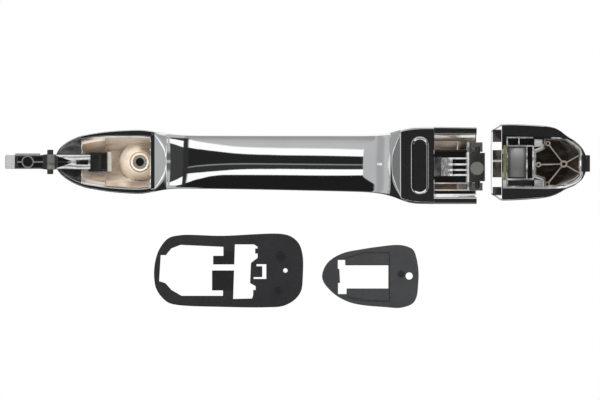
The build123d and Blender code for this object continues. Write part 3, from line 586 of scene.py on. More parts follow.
def paint_saddle(at):
    return ramp(rescale(at.z, (6.4, -6.9)),
                (0.0, (0.30, 0.30, 0.295)), (0.35, (0.15, 0.15, 0.147)),
                (0.7, (0.105, 0.105, 0.10)), (1.0, (0.13, 0.13, 0.127)))


def paint_clip(at):
    return ramp(at.streaks, (0.30, 0.12), (0.50, 0.33), (0.70, 0.60))


def paint_leg(at):
    colour = ramp(at.streaks, (0.28, 0.02), (0.46, 0.20), (0.62, 0.50))
    # dark stretch, where it lies deep, crossed by bars of painted highlight
    dark = band(at.x, -187.0, -178.6, 0.1)
    colour = mix(dark * below(at.y, -9.0, 0.2), colour, (0.02, 0.02, 0.018))
    for bar_low, bar_high in ((1.1, 2.0), (-1.65, -0.65), (-4.1, -3.2), (-6.4, -5.4)):
        colour = mix(band(at.z, bar_low, bar_high, 0.04) * dark, colour, 0.66)
    # end plate, and the two dark hooks with painted highlights on their rims above and below it
    colour = mix(below(at.x, -187.0, 0.05) * band(at.z, -9.2, 4.4, 0.1), colour, 0.52)
    hook = below(at.x, -187.95, 0.05) * above(abs(at.z + 2.4), 6.6, 0.1)
    rim = hook * band(at.facing(), 0.25, 0.94, 0.03)
    return mix(rim, mix(hook, colour, (0.065, 0.065, 0.063)), (0.88, 0.88, 0.87))


def paint_gasket(at):
    """Both gaskets: dark at x > -118, lighter beyond."""
    x, z = at.x, at.z
    dark = ramp(at.mottle, (0.3, (0.0175, 0.0175, 0.019)), (0.7, (0.0205, 0.0205, 0.022)))
    lit = ramp(at.mottle, (0.3, (0.041, 0.042, 0.044)), (0.7, (0.047, 0.048, 0.050)))
    # painted shade in a sunk rectangle and in two round dimples on the dark one
    tongue = band(x, -83.0, -71.5, 0.4) * band(z, -57.9, -40.0, 0.4)
    dark = mix(tongue * 0.8, dark, (0.009, 0.009, 0.010))
    for spot_x, spot_z, radius in ((-103.5, -42.1, 2.2), (-102.2, -57.7, 1.7)):
        spot = below(at.distance(spot_x, spot_z), radius, 0.35)
        dark = mix(0.75 * spot, dark, (0.008, 0.008, 0.009))
    # painted shade in a round dimple and in the groove round the panel of the lighter one
    lit = mix(0.85 * below(at.distance(-157.8, -50.4), 1.5, 0.4), lit, 0.012)
    upper_edge = maximum(x + 141.2, 0.0) * -0.285 + -41.0
    lower_edge = maximum(x + 141.0, 0.0) * 0.22 + -62.2
    span = band(x, -152.6, -131.5, 0.1)
    upper = band(z - upper_edge, -0.02, 0.40, 0.1)
    lower = band(z - lower_edge, -0.62, -0.20, 0.1)
    upright = band(x, -152.75, -152.35, 0.08) * band(z, -62.6, -40.8, 0.1)
    groove = maximum(maximum(upper, lower) * span, upright)
    lit = mix(groove * 0.75, lit, (0.014, 0.014, 0.015))
    lit = mix(above(x, -131.0, 0.8) * 0.5, lit, (0.030, 0.031, 0.033))
    # painted highlight on the rounded rims
    rim = band(at.facing(), 0.2, 0.94, 0.03)
    both = mix(below(x, -118.0, 1.0), dark, lit)
    return mix(rim * 0.5, both, 0.13)


# --------------------------------------------------------------------------
# the materials
# --------------------------------------------------------------------------
MATERIALS = {
    "chrome": chrome("chrome_plate"),
    "cap": facet_chrome("cap_plate"),
    "chrome_in": chrome("chrome_plate_inner", rough=(0.03, 0.07)),
    # a spare darker plating that no piece wears
    "dark": chrome("dark_plate", tint=(0.42, 0.42, 0.43), rough=(0.05, 0.1)),
    "leg": moulding("leg_plate", paint_leg, rough=0.25, grain=900, bumps=0.06,
                    specular=0.6, coat=0.5),
    "front_core": moulding("cream_moulding", paint_front_core, rough=0.36, grain=700,
                           bumps=0.05, coat=0.15),
    "rear_core": moulding("rear_channel_moulding", paint_rear_core, rough=0.34, grain=700,
                          bumps=0.05, specular=0.4, coat=0.08),
    "arm": moulding("arm_satin_black", paint_arm, rough=0.34, grain=1100, bumps=0.05,
                    coat=0.15),
    "pin": plastic("pin_black_oxide", 0.02, rough=0.32, grain=1600, bumps=0.04, spread=0.2),
    "pad": plastic("tip_pad_grey", (0.40, 0.40, 0.385), rough=0.6, grain=900, bumps=0.2,
                   spread=0.12),
    "retainer": plastic("retainer_black", (0.0125, 0.0125, 0.011), rough=0.36, grain=1200,
                        bumps=0.05, spread=0.25),
    "nose": moulding("nose_panel", paint_nose, rough=0.3, grain=900, bumps=0.04,
                     specular=0.6, coat=0.4),
    "insert": moulding("insert_metal", paint_insert, rough=0.3, grain=1500, bumps=0.04,
                       specular=0.7, coat=0.2),
    "steel": chrome("turned_steel", tint=(0.55, 0.55, 0.55), rough=(0.22, 0.35)),
    "shoe": plastic("shoe_black", (0.014, 0.013, 0.011), rough=0.4, grain=1000, bumps=0.08,
                    spread=0.3),
    "button": plastic("button_grey", (0.115, 0.113, 0.10), rough=0.62, grain=1500, bumps=0.1,
                      spread=0.08),
    "cap_core": moulding("cap_core_brown", paint_cap_core, rough=0.30, grain=500, bumps=0.05,
                         specular=0.3),
    "cap_frame": moulding("cap_frame_plate", paint_cap_frame, rough=0.24, grain=900,
                          bumps=0.04, coat=0.5),
    "saddle": moulding("saddle_satin_grey", paint_saddle, rough=0.34, grain=1400, bumps=0.03,
                       coat=0.1),
    "clip": moulding("clip_grey", paint_clip, rough=0.36, grain=1200, bumps=0.06, coat=0.3),
    "strip": plastic("strip_olive", (0.13, 0.125, 0.06), rough=0.55, grain=900, bumps=0.1,
                     spread=0.2),
    "tab": plastic("tab_black", 0.012, rough=0.4, grain=1000, bumps=0.06, spread=0.3),
    "gasket": moulding("gasket_rubber", paint_gasket, rough=0.55, grain=1500, bumps=0.22,
                       specular=0.35),
    "cover": chrome("cover_plate", tint=(0.80, 0.80, 0.81), rough=(0.03, 0.07)),
}

# CAD piece: its material
PIECE_MATERIAL = {
    "outer_shell": "chrome", "grip_inner_shell": "chrome_in", "rear_oval_cover": "cover",
    "front_foot_core": "front_core", "boss_insert": "insert", "pivot_arm": "arm",
    "pivot_pin": "pin", "arm_tip_pad": "pad", "arm_retainer": "retainer",
    "shell_screws": "steel", "rear_foot_core": "rear_core", "latch_leg": "leg",
    "leg_shoe": "shoe", "shoe_button": "button", "cap_shell": "chrome",
    "cap_core": "cap_core", "cap_frame": "cap_frame", "cap_saddle": "saddle",
    "cap_clips": "clip", "cap_edge_strip": "strip", "cap_tab": "tab",
    "rear_gasket": "gasket", "front_gasket": "gasket",
}
for piece, key in PIECE_MATERIAL.items():
    slots = pieces[piece].data.materials
    slots.clear()
    slots.append(MATERIALS[key])

# --------------------------------------------------------------------------
# form of the handle
# --------------------------------------------------------------------------
# x, top z, bottom z, depth of the outer face beyond the door plane
HANDLE = np.array([
    (-2.3, 2.3, -1.9, 1.6), (-2.9, 4.2, -3.3, 2.4), (-3.8, 5.8, -4.7, 3.8),
    (-5.2, 7.4, -6.2, 5.6), (-7.9, 9.3, -8.2, 8.1), (-10.6, 10.7, -9.7, 9.9),
    (-13.3, 11.7, -10.8, 11.4), (-16.0, 12.3, -11.7, 12.8), (-18.7, 12.8, -12.2, 14.2),
    (-25.9, 13.8, -13.4, 17.2), (-33.5, 14.3, -14.1, 20.0), (-40.7, 14.5, -14.4, 22.6),
    (-47.0, 13.6, -13.3, 24.8), (-53.3, 12.9, -12.2, 27.0), (-59.0, 12.35, -11.95, 29.0),
    (-66.4, 12.1, -12.0, 31.0), (-88.0, 12.05, -12.3, 35.0), (-112.3, 12.05, -12.8, 36.5),
    (-130.3, 12.05, -13.2, 36.0), (-141.1, 12.1, -13.5, 35.0), (-147.0, 12.3, -14.0, 34.0),
    (-151.9, 13.0, -14.9, 33.2), (-157.3, 14.4, -16.9, 32.0), (-160.5, 15.3, -18.1, 31.2),
    (-163.5, 15.75, -18.75, 30.6), (-172.6, 15.8, -18.9, 28.6), (-191.8, 15.6, -18.9, 25.5)])
# x, depth of the door-side crest of the grip below the door plane
CREST = np.array([
    (-50.0, 6.5), (-52.0, 8.9), (-55.0, 11.6), (-58.0, 13.55), (-62.0, 15.3), (-66.4, 16.75),
    (-71.0, 17.95), (-77.0, 19.1), (-82.0, 19.75), (-88.0, 20.25), (-95.0, 20.6),
    (-104.0, 20.85), (-112.3, 20.8), (-122.0, 20.3), (-130.3, 19.4), (-136.0, 18.35),
    (-141.1, 16.95), (-146.0, 14.6), (-150.0, 11.2), (-153.3, 7.4), (-155.5, 4.2)])
GRID_PITCH = 0.1
GRID_X = np.arange(-191.8, -2.2, GRID_PITCH)


def smoothed(column, sigma):
    """A HANDLE column on the grid, blurred by sigma mm except near both ends."""
    raw = pchip(HANDLE[:, 0], HANDLE[:, column], GRID_X)
    inside = smoothstep(-16.0, -24.0, GRID_X) * smoothstep(-191.8, -186.0, GRID_X)
    return lerp(raw, blur(raw, sigma / GRID_PITCH), inside)


TOP, LOW, OUT = smoothed(1, 1.8), smoothed(2, 1.8), smoothed(3, 3.0)
CREST_DEPTH = blur(pchip(CREST[:, 0], CREST[:, 1], GRID_X), 6)
CREST_RISE = 0.42 * (OUT - CREST_DEPTH)

# The two inclined facets at the ends of the grip: where they meet the door plane, their
# slope, the rise of the back behind them, and the rim circle (x, z, radius).
FRONT_X, FRONT_SLOPE, FRONT_RISE, FRONT_RIM = -46.85, 1.73, 7.4, (-34.3, 0.3, 17.7)
REAR_X, REAR_SLOPE, REAR_RISE, REAR_RIM = -157.6, 1.50, 9.6, (-179.7, -1.45, 26.4)


def on_grid(table, x):
    return np.interp(x, GRID_X, table)


def rim_share(x, rim_x, rim_z, radius):
    """Share of the back's rise that a facet's rim reaches at x; only the size of the
    circle counts in z, so rim_z is not read."""
    half = (on_grid(TOP, x) - on_grid(LOW, x)) / 2
    rim_half = np.sqrt(np.clip(radius * radius - (x - rim_x) ** 2, 0, None))
    return np.sqrt(np.clip(1 - (rim_half / half) ** 2, 0, 1))


def widest(x):
    """y of the widest line of the grip, and the rise of the back above it."""
    rise = on_grid(CREST_RISE, x)
    y = DOOR - on_grid(CREST_DEPTH, x) - rise
    if x > -55:
        facet = DOOR - FRONT_SLOPE * (FRONT_X - x) - FRONT_RISE * rim_share(x, *FRONT_RIM)
        weight = smoothstep(-51.4, -52.6, x)
        y, rise = lerp(facet, y, weight), lerp(FRONT_RISE, rise, weight)
    if x < -150:
        facet = DOOR - REAR_SLOPE * (x - REAR_X) - REAR_RISE * rim_share(x, *REAR_RIM)
        weight = smoothstep(-153.9, -152.7, x)
        y, rise = lerp(facet, y, weight), lerp(REAR_RISE, rise, weight)
    if x < -156.6:
        foot = -9.0 + 0.3 * smoothstep(-158, -172, x)
        y = lerp(y, foot, smoothstep(-156.6, -158.8, x))
    return float(y), float(rise)


# --------------------------------------------------------------------------
# wall sections, as closed loops of points at one x
# --------------------------------------------------------------------------
OUTER_POINTS, INNER_POINTS = 61, 51
OUTER_POWER, INNER_POWER = 0.80, 0.72     # below 1 the half loops are fuller than ellipses
QUARTER = np.linspace(0, math.pi / 2, 5)
RIM_POINTS = 10                           # two arcs of four points and two flat points


def half_loop(rim_y, far_y, low, top, power, count):
    """Even points (y, z) from (rim_y, low) through far_y to (rim_y, top)."""
    t = np.linspace(0, math.pi, 361)
    c, s = -np.cos(t), np.sin(t)
    z = (low + top) / 2 + (top - low) / 2 * np.sign(c) * np.abs(c) ** power
    y = rim_y + (far_y - rim_y) * np.abs(s) ** power
    length = np.concatenate([[0], np.cumsum(np.hypot(np.diff(y), np.diff(z)))])
    even = np.linspace(0, length[-1], count)
    return list(zip(np.interp(even, length, y), np.interp(even, length, z)))


def onto_rim(rim_y, z, radius):
    return [(rim_y - radius + radius * math.sin(a), z - radius + radius * math.cos(a))
            for a in QUARTER[1:]]


def off_rim(rim_y, z, radius):
    return [(rim_y - radius + radius * math.cos(a), z + radius - radius * math.sin(a))
            for a in QUARTER[:-1]]


def rim_flat(rim_y, start, end):
    inset = min(0.05, 0.2 * abs(start - end))
    return [(rim_y, start - inset), (rim_y, end + inset)]


def loop_section(x, rim_y, outer_y, low, top, inner_y, inner_low, inner_top,
                 inner_power=INNER_POWER, outer_r=0.35, inner_r=0.25):
    """Outer half, rounded rim, inner half, rounded rim."""
    points = half_loop(rim_y - outer_r, outer_y, low, top, OUTER_POWER, OUTER_POINTS)
    points += onto_rim(rim_y, top, outer_r)
    points += rim_flat(rim_y, top - outer_r, inner_top + inner_r)
    points += off_rim(rim_y, inner_top, inner_r)
    points += half_loop(rim_y - inner_r, inner_y, inner_low, inner_top, inner_power,
                        INNER_POINTS)[::-1]
    points += onto_rim(rim_y, inner_low, inner_r)
    points += rim_flat(rim_y, inner_low - inner_r, low + outer_r)
    points += off_rim(rim_y, low, outer_r)
    return [(x, y, z) for y, z in points]


# width of the flat plated rim around the front cavity, above and below
RIM_AT = [13.5, 20.0, 30.0, 38.0, 45.0]    # -x


def rim_top(x):
    return float(np.interp(-x, RIM_AT, [1.5, 1.75, 2.35, 2.75, 2.75]))


def rim_low(x):
    return float(np.interp(-x, RIM_AT, [1.6, 1.85, 2.1, 2.2, 2.2]))


# --------------------------------------------------------------------------
# outer shell
# --------------------------------------------------------------------------
# zone, from x, to x, pitch
SHELL_RUNS = (
    ("nose", -2.3, -4.6, 0.2), ("panel", -4.62, -13.75, 0.35), ("cavity", -13.8, -45.15, 0.8),
    ("wall", -45.2, -46.82, 0.4), ("grip", -46.88, -58.0, 0.2), ("grip", -59.0, -149.0, 1.0),
    ("grip", -149.5, -160.0, 0.3), ("grip", -161.0, -172.55, 1.0),
    ("rear", -172.62, -191.8, 0.8))


def outer_section(x, zone):
    top, low, out = (float(on_grid(table, x)) for table in (TOP, LOW, OUT))
    outer_y = DOOR - out
    if zone == "nose":
        return loop_section(x, DOOR, outer_y, low, top, DOOR - 0.26, low + 0.9, top - 0.9,
                            outer_r=0.3, inner_r=0.05)
    if zone == "panel":
        wall = 1.45
        depth = 1.6 + 2.6 * float(smoothstep(-4, -13.6, x))
        return loop_section(x, DOOR, outer_y, low, top, DOOR - min(depth, out - 1.2),
                            low + wall, top - wall, inner_power=0.5)
    if zone == "cavity":
        return loop_section(x, DOOR, outer_y, low, top, outer_y + 2.0,
                            low + rim_low(x), top - rim_top(x))
    if zone == "wall":
        return loop_section(x, DOOR, outer_y, low, top, DOOR - 0.26, low + 1.5, top - 1.5)
    if zone == "grip":
        return loop_section(x, widest(x)[0] - 0.05, outer_y, low, top, outer_y + 2.2,
                            low + 2.0, top - 2.0, outer_r=0.06, inner_r=0.06)
    return loop_section(x, DOOR, outer_y, low, top, outer_y + 2.0, -16.2, 12.6,
                        inner_power=0.5, outer_r=0.45, inner_r=0.3)


def open_end_faces(base):
    """Strip between the outer and the inner half of the section that starts at base."""
    inner_start = base + OUTER_POINTS + RIM_POINTS
    outer = list(range(base, base + OUTER_POINTS))
    inner = list(range(inner_start, inner_start + INNER_POINTS))[::-1]
    top_rim = [base + OUTER_POINTS + k for k in range(RIM_POINTS)]
    low_rim = [inner_start + INNER_POINTS + k for k in range(RIM_POINTS)]
    last_o, last_i = OUTER_POINTS - 1, INNER_POINTS - 1
    faces = []
    o, i = 0, 0
    while o < last_o or i < last_i:
        if i == last_i or (o < last_o and o / last_o <= i / last_i):
            faces.append((outer[o], outer[o + 1], inner[i]))
            o += 1
        else:
            faces.append((outer[o], inner[i + 1], inner[i]))
            i += 1
    faces.append([outer[-1]] + top_rim + [inner[-1]])
    faces.append([outer[0], inner[0]] + low_rim)
    return faces


def build_outer_shell():
    sections = []
    for zone, start, end, pitch in SHELL_RUNS:
        steps = max(1, int(round(abs(end - start) / pitch)))
        sections += [outer_section(float(x), zone) for x in np.linspace(start, end, steps + 1)]
    count = len(sections[0])
    verts = [p for section in sections for p in section]
    faces = grid_faces(len(sections), count, close_v=True)
    # the nose closes in one vertex, level between the outer and inner half's middles
    nose = len(verts)
    middle_z = (sections[0][30][2] + sections[0][96][2]) / 2
    verts.append((-1.95, DOOR - 0.55, middle_z))
    faces += [(nose, j, (j + 1) % count) for j in range(count)]
    faces += open_end_faces((len(sections) - 1) * count)
    shell = mesh_obj("outer_shell_plated", verts, faces, "handle", MATERIALS["chrome"],
                     sharp_deg=38)
    # the sunk panel behind the nose wears its own material
    shell.data.materials.append(MATERIALS["nose"])
    for face in shell.data.polygons:
        c = face.center * 1000
        if -13.9 < c.x < -2.6 and c.y > -10.8:
            top, low = float(on_grid(TOP, c.x)), float(on_grid(LOW, c.x))
            if low + 0.75 < c.z < top - 0.75 and (face.normal.y > 0.25 or c.y < -6.4):
                face.material_index = 1
    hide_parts("outer_shell")


build_outer_shell()

# --------------------------------------------------------------------------
# door-side shell of the grip
# --------------------------------------------------------------------------
# from x, to x, step
GRIP_RUNS = ((FRONT_X - 0.02, -56.0, -0.14), (-56.0, -66.0, -0.4), (-66.0, -140.0, -0.9),
             (-140.0, -150.0, -0.4), (-150.0, -160.0, -0.14), (-160.0, -172.4, -0.8))
GRIP_ENDS = [-172.45, -172.55]
GRIP_ROWS = 121


def build_grip():
    even = np.linspace(-1, 1, GRIP_ROWS)
    # rows crowd towards the edges, where the back rolls over
    angles = np.sign(even) * (1 - (1 - np.abs(even)) ** 1.25) * math.pi / 2
    upper, lower = [], []
    for x in np.concatenate([np.arange(*run) for run in GRIP_RUNS] + [GRIP_ENDS]):
        wide_y, rise = widest(x)
        top, low = float(on_grid(TOP, x)), float(on_grid(LOW, x))
        centre_z, half = (top + low) / 2, (top - low) / 2
        y = wide_y + rise * np.cos(angles)
        # cut by the facets, with a rounded edge
        if x > -52.0:
            width = 0.24 + 0.73 * float(np.clip((x + 52.0) / 2.0, 0, 1))
            y = (smooth_min(y, DOOR - FRONT_SLOPE * (FRONT_X - x), width)
                 + 0.03 * (1 - min(1.0, x + 52.0)))
        if x < -153.3:
            width = 0.34 + 0.63 * float(np.clip((-153.3 - x) / 1.6, 0, 1))
            y = smooth_min(y, min(DOOR - REAR_SLOPE * (x - REAR_X), 40.0), width)
            y = smooth_min(y, DOOR + 0.09, 0.4)
        y = np.minimum(y, DOOR)
        y[0] = y[-1] = wide_y
        upper.append([(x, a, b) for a, b in zip(y, centre_z + half * np.sin(angles))])
        # under skin, brought back to the widest line at the edges
        under = y - 1.9
        if x > -157:
            under = np.minimum(under, wide_y + 0.92 * (y - wide_y) - 0.02)
        under = np.where(np.abs(angles) > 1.45, wide_y, under)
        under = np.maximum(under, wide_y - (0.01 if x > -150 else 3.0))
        under_half = half - 1.7
        lower.append([(x, a, centre_z + under_half * math.sin(t))
                      for a, t in zip(under, angles)])
    grip = mesh_obj("grip_inner_plated", *closed_block(upper, lower), "handle",
                    MATERIALS["chrome_in"], sharp_deg=50)
    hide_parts("grip_inner_shell")


build_grip()


# --------------------------------------------------------------------------
# mouldings in the feet, as closed blocks with a relief on the door side
# --------------------------------------------------------------------------
def relief_block(name, columns, rows_at, upper_at, lower_at, material, piece):
    """columns: values of x; rows_at(x): values of z; upper_at, lower_at(x, z): y."""
    upper, lower = [], []
    for x in columns:
        z = np.asarray(rows_at(x), float)
        upper_y = upper_at(x, z)
        lower_y = np.minimum(lower_at(x, z), upper_y - 0.5)
        upper.append([(x, a, b) for a, b in zip(upper_y, z)])
        lower.append([(x, a, b) for a, b in zip(lower_y, z)])
    ob = mesh_obj(name, *closed_block(upper, lower), "handle", material, sharp_deg=40)
    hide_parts(piece)


def front_rows(x):
    top = float(on_grid(TOP, x)) - rim_top(x) - 0.12
    low = float(on_grid(LOW, x)) + rim_low(x) + 0.12
    edge = np.array([0, 0.04, 0.34, 0.42])
    return np.concatenate([low + edge, np.linspace(low + 0.55, top - 0.55, 130),
                           top - edge[::-1]])


def front_upper(x, z):
    top, low, out = z[-1], z[0], float(on_grid(OUT, x))
    centre_z, half = (top + low) / 2, (top - low) / 2
    # hollow that follows the shell
    share = np.clip(np.abs(z - centre_z) / (half - 0.42), 0, 1)
    depth = 0.86 * (out - 2.9)
    side = 1 - share**1.25
    y = -6.6 - depth * np.clip(np.minimum(1.45 * side, 0.80 + 0.20 * side), 0, 1)
    # shallower flanks at the +x end
    if x > -24.6:
        y = np.where(np.abs(z) > 4.95, np.minimum(y + 2.6, -6.9), y)
    # dome with a flat ring and a hole
    r = np.hypot(x + 40.2, z)
    dome = -8.7 - 7.4 * (np.clip(r - 4.5, 0, None) / 4.8) ** 1.4 - 0.25 * (r < 4.55)
    y = np.maximum(y, np.where(r < 9.6, dome, -99) - 14.0 * np.clip(r - 9.1, 0, 0.5))
    y = np.where(r < 4.2, -7.8, y)
    y = np.where(r < 3.06, -16.8, y)
    # cross lip, the pocket beside it and the gate out to the nose
    if -27.4 <= x <= -25.6:
        y = np.where((z > -4.3) & (z < 4.5), -7.6, y)
    if -25.55 < x < -16.9:
        y = np.where((z > -4.35) & (z < 4.55), np.minimum(y, -14.1), y)
    gate = (np.abs(z) < 3.6) & (x > -17.4)
    y = np.where(gate, np.minimum(y, -12.9), y)
    # raised border, interrupted at the gate
    to_edge = np.minimum(np.minimum(z - low, top - z), min(-14.05 - x, x + 45.05))
    return np.where((to_edge < 0.36) & ~gate, -6.4, y)


def front_lower(x, z):
    top = float(on_grid(TOP, x)) - rim_top(x)
    low = float(on_grid(LOW, x)) + rim_low(x)
    share = np.abs(z - (top + low) / 2) / ((top - low) / 2)
    bulge = np.clip(1 - np.clip(share, 0, 1) ** 2.78, 0, 1) ** 0.36
    return -6.25 - (float(on_grid(OUT, x)) - 2.3) * bulge


FRONT_COLUMNS = np.concatenate([
    [-14.05, -14.09, -14.36, -14.42], np.arange(-14.6, -25.5, -0.3), [-25.5, -25.57, -25.62],
    np.arange(-25.9, -27.35, -0.3), [-27.38, -27.43], np.arange(-27.7, -44.6, -0.24),
    [-44.68, -44.74, -45.01, -45.05]])
relief_block("front_core_moulded", FRONT_COLUMNS, front_rows, front_upper, front_lower,
             MATERIALS["front_core"], "front_foot_core")

# profile of the rear moulding: z, y
REAR_PROFILE = np.array([
    (-15.8, -7.2), (-14.45, -7.2), (-14.38, -12.5), (-12.98, -12.5), (-12.92, -7.4),
    (-12.33, -7.4), (-12.27, -12.0), (-9.9, -12.6), (-9.83, -7.6), (-9.27, -7.6),
    (-9.2, -18.0), (4.75, -18.0), (4.82, -10.0), (5.45, -10.0), (5.52, -16.5), (9.5, -10.5),
    (9.58, -7.6), (10.15, -7.6), (10.22, -11.5), (10.95, -11.5), (11.02, -7.2), (12.3, -7.2)])
REAR_COLUMNS = np.concatenate([
    np.arange(-172.8, -182.9, -0.5), [-182.95, -183.05, -183.45, -183.55],
    np.arange(-184.0, -187.1, -0.5), [-187.15, -187.25, -187.65, -187.75],
    np.arange(-188.2, -191.2, -0.5), [-191.2]])


def rear_rows(x):
    return np.sort(np.concatenate([REAR_PROFILE[:, 0], np.linspace(-15.6, 12.1, 60)]))


def rear_upper(x, z):
    y = np.interp(z, REAR_PROFILE[:, 0], REAR_PROFILE[:, 1])
    # two cross walls in the low and the high channel
    if -183.5 < x < -183.0 or -187.7 < x < -187.2:
        y = np.where((z > -12.3) & (z < -9.85), -9.0, y)
        y = np.where((z > 5.5) & (z < 9.55), np.maximum(y, -10.6), y)
    return y


relief_block("rear_core_moulded", REAR_COLUMNS, rear_rows, rear_upper, lambda x, z: -19.0,
             MATERIALS["rear_core"], "rear_foot_core")

# --------------------------------------------------------------------------
# oval plate with a rolled rim, on the rear foot
# --------------------------------------------------------------------------
OVAL_X, OVAL_Z, OVAL_HALF = -166.2, -1.6, 9.15    # centre; half the straight length in z
# distance from the spine, y
OVAL_PROFILE = [
    (0.02, -5.95), (2.45, -5.95), (2.6, -5.95), (3.0, -5.9), (3.2, -5.80), (3.42, -5.72),
    (3.66, -5.72), (3.86, -5.84), (3.98, -6.05), (4.02, -6.4), (4.02, -6.85), (0.02, -6.85)]


def build_oval():
    verts = []
    for side, start in ((1, 0), (-1, math.pi)):
        for i in range(25):
            a = start + math.pi * i / 24
            verts += [(OVAL_X + r * math.cos(a), y, OVAL_Z + side * OVAL_HALF + r * math.sin(a))
                      for r, y in OVAL_PROFILE]
    faces = grid_faces(50, len(OVAL_PROFILE), close_v=True, close_u=True)
    oval = mesh_obj("oval_plate", verts, faces, "handle", MATERIALS["cover"], sharp_deg=60)
    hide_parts("rear_oval_cover")


build_oval()

# --------------------------------------------------------------------------
# two thin raised pads on the front gasket
# --------------------------------------------------------------------------
PAD_Y = (-5.2, -4.5)
# outlines of the upper and the lower pad: x, z
PAD_OUTLINES = (
    [(-152.3, -40.8), (-141.2, -41.2), (-133.2, -43.5), (-133.2, -46.1), (-152.3, -46.1)],
    [(-152.3, -57.3), (-133.6, -57.3), (-133.6, -60.2), (-141.0, -61.9), (-152.3, -62.5)])
for number, outline in enumerate(PAD_OUTLINES, 1):
    n = len(outline)
    mesh_obj("front_gasket_pad_%d" % number,
             [(x, y, z) for y in PAD_Y for x, z in outline],
             [tuple(range(n)), tuple(range(2 * n - 1, n - 1, -1))]
             + [(i, (i + 1) % n, n + (i + 1) % n, n + i) for i in range(n)],
             pieces["front_gasket"]["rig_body"], MATERIALS["gasket"])

# --------------------------------------------------------------------------
# small mechanical pieces keep their CAD shape, with broken edges
# --------------------------------------------------------------------------
# CAD piece: width of the broken edge
EDGE_WIDTH = {
    "pivot_arm": 0.14, "pivot_pin": 0.1, "arm_tip_pad": 0.25, "arm_retainer": 0.18,
    "boss_insert": 0.12, "latch_leg": 0.22, "leg_shoe": 0.3, "shoe_button": 0.12,
    "cap_core": 0.25, "cap_frame": 0.19, "cap_saddle": 0.2, "cap_clips": 0.2,
    "cap_edge_strip": 0.2, "cap_tab": 0.25, "rear_gasket": 0.3, "front_gasket": 0.3,
}
for piece, width in EDGE_WIDTH.items():
    weld = pieces[piece].modifiers.new("weld", "WELD")
    weld.merge_threshold = 2e-6
    bevel = pieces[piece].modifiers.new("edges", "BEVEL")
    bevel.width = width * MM
    bevel.segments = 2
    bevel.limit_method = "ANGLE"
    bevel.angle_limit = math.radians(40)
    bevel.harden_normals = True

# the plating mirrors the studio only
for ob in list(pieces.values()) + [o for o in scene.objects if o.type == "MESH"]:
    ob.visible_glossy = False

# --------------------------------------------------------------------------
# cap shell
# --------------------------------------------------------------------------
# x, top z, bottom z, depth of the outer face
CAP = np.array([
    (-198.5, 14.2, -14.6, 24.6), (-200.8, 15.7, -16.0, 24.2), (-203.1, 17.0, -17.35, 23.9),
    (-207.0, 17.1, -17.3, 23.1), (-212.0, 16.95, -17.05, 21.9), (-217.0, 16.7, -16.7, 20.3),
    (-221.4, 16.4, -16.3, 18.6), (-224.5, 16.0, -15.7, 17.1), (-227.0, 15.4, -14.9, 15.6),
    (-229.5, 14.1, -13.7, 13.9), (-231.5, 12.5, -12.5, 12.2), (-233.5, 11.1, -11.6, 10.6),
    (-235.5, 9.9, -10.8, 9.0), (-237.4, 8.4, -9.6, 7.3), (-239.2, 6.4, -7.9, 5.7),
    (-240.4, 4.2, -5.8, 4.4), (-241.0, 2.6, -4.1, 3.4), (-241.2, 1.2, -2.6, 2.8)])
# x, top z and bottom z of the opening on the door side
CAP_OPENING = np.array([
    (-203.55, 12.1, -11.6), (-222.4, 11.3, -11.9), (-232.2, 10.8, -11.5),
    (-235.0, 9.75, -10.4), (-236.9, 8.6, -9.3), (-238.4, 7.0, -7.9), (-239.2, 5.4, -6.6),
    (-239.6, 3.8, -5.4)])
FACET_X = -203.1      # the inclined end begins here
CAP_WALL = 1.8


def curve_at(table, column, x):
    return float(pchip(table[:, 0], table[:, column], np.array([x]))[0])


def cap_section(x, is_open):
    top, low, out = (curve_at(CAP, column, x) for column in (1, 2, 3))
    outer_y = DOOR - out
    rim_y = DOOR if x < FACET_X else DOOR - 0.87 * (x - FACET_X)
    r = 0.45 if x > -222.0 else 0.24
    points = half_loop(rim_y - r, outer_y, low, top, OUTER_POWER, OUTER_POINTS)
    points += onto_rim(rim_y, top, r)
    if is_open:
        # over the lip of the opening, round the hollow and back over the lip
        open_top = min(top - 0.7, curve_at(CAP_OPENING, 1, x))
        open_low = max(low + 0.7, curve_at(CAP_OPENING, 2, x))
        in_top, in_low = max(open_top, top - CAP_WALL), min(open_low, low + CAP_WALL)
        points += [(rim_y, max(open_top + 0.24, top - r - 0.05)), (rim_y, open_top + 0.2),
                   (rim_y - 0.2, open_top), (rim_y - 1.3, open_top),
                   (rim_y - 1.4, open_top + 0.05), (rim_y - 1.45, in_top)]
        points += half_loop(rim_y - 1.5, min(outer_y + CAP_WALL, rim_y - 1.7), in_low, in_top,
                            INNER_POWER, INNER_POINTS)[::-1]
        points += [(rim_y - 1.45, in_low), (rim_y - 1.4, open_low - 0.05),
                   (rim_y - 1.3, open_low), (rim_y - 0.2, open_low), (rim_y, open_low - 0.2),
                   (rim_y, min(open_low - 0.24, low + r + 0.05))]
    else:
        points += [(rim_y, z) for z in np.linspace(top - 0.9, low + 0.9, INNER_POINTS + 12)]
    points += off_rim(rim_y, low, r)
    return [(x, y, z) for y, z in points]


# from x, to x, number of sections, whether the door side is open
CAP_RUNS = ((-198.5, -203.1, 9, False), (-203.3, -203.52, 2, False),
            (-203.56, -226.0, 28, True), (-226.5, -239.55, 34, True),
            (-239.6, -241.2, 9, False))


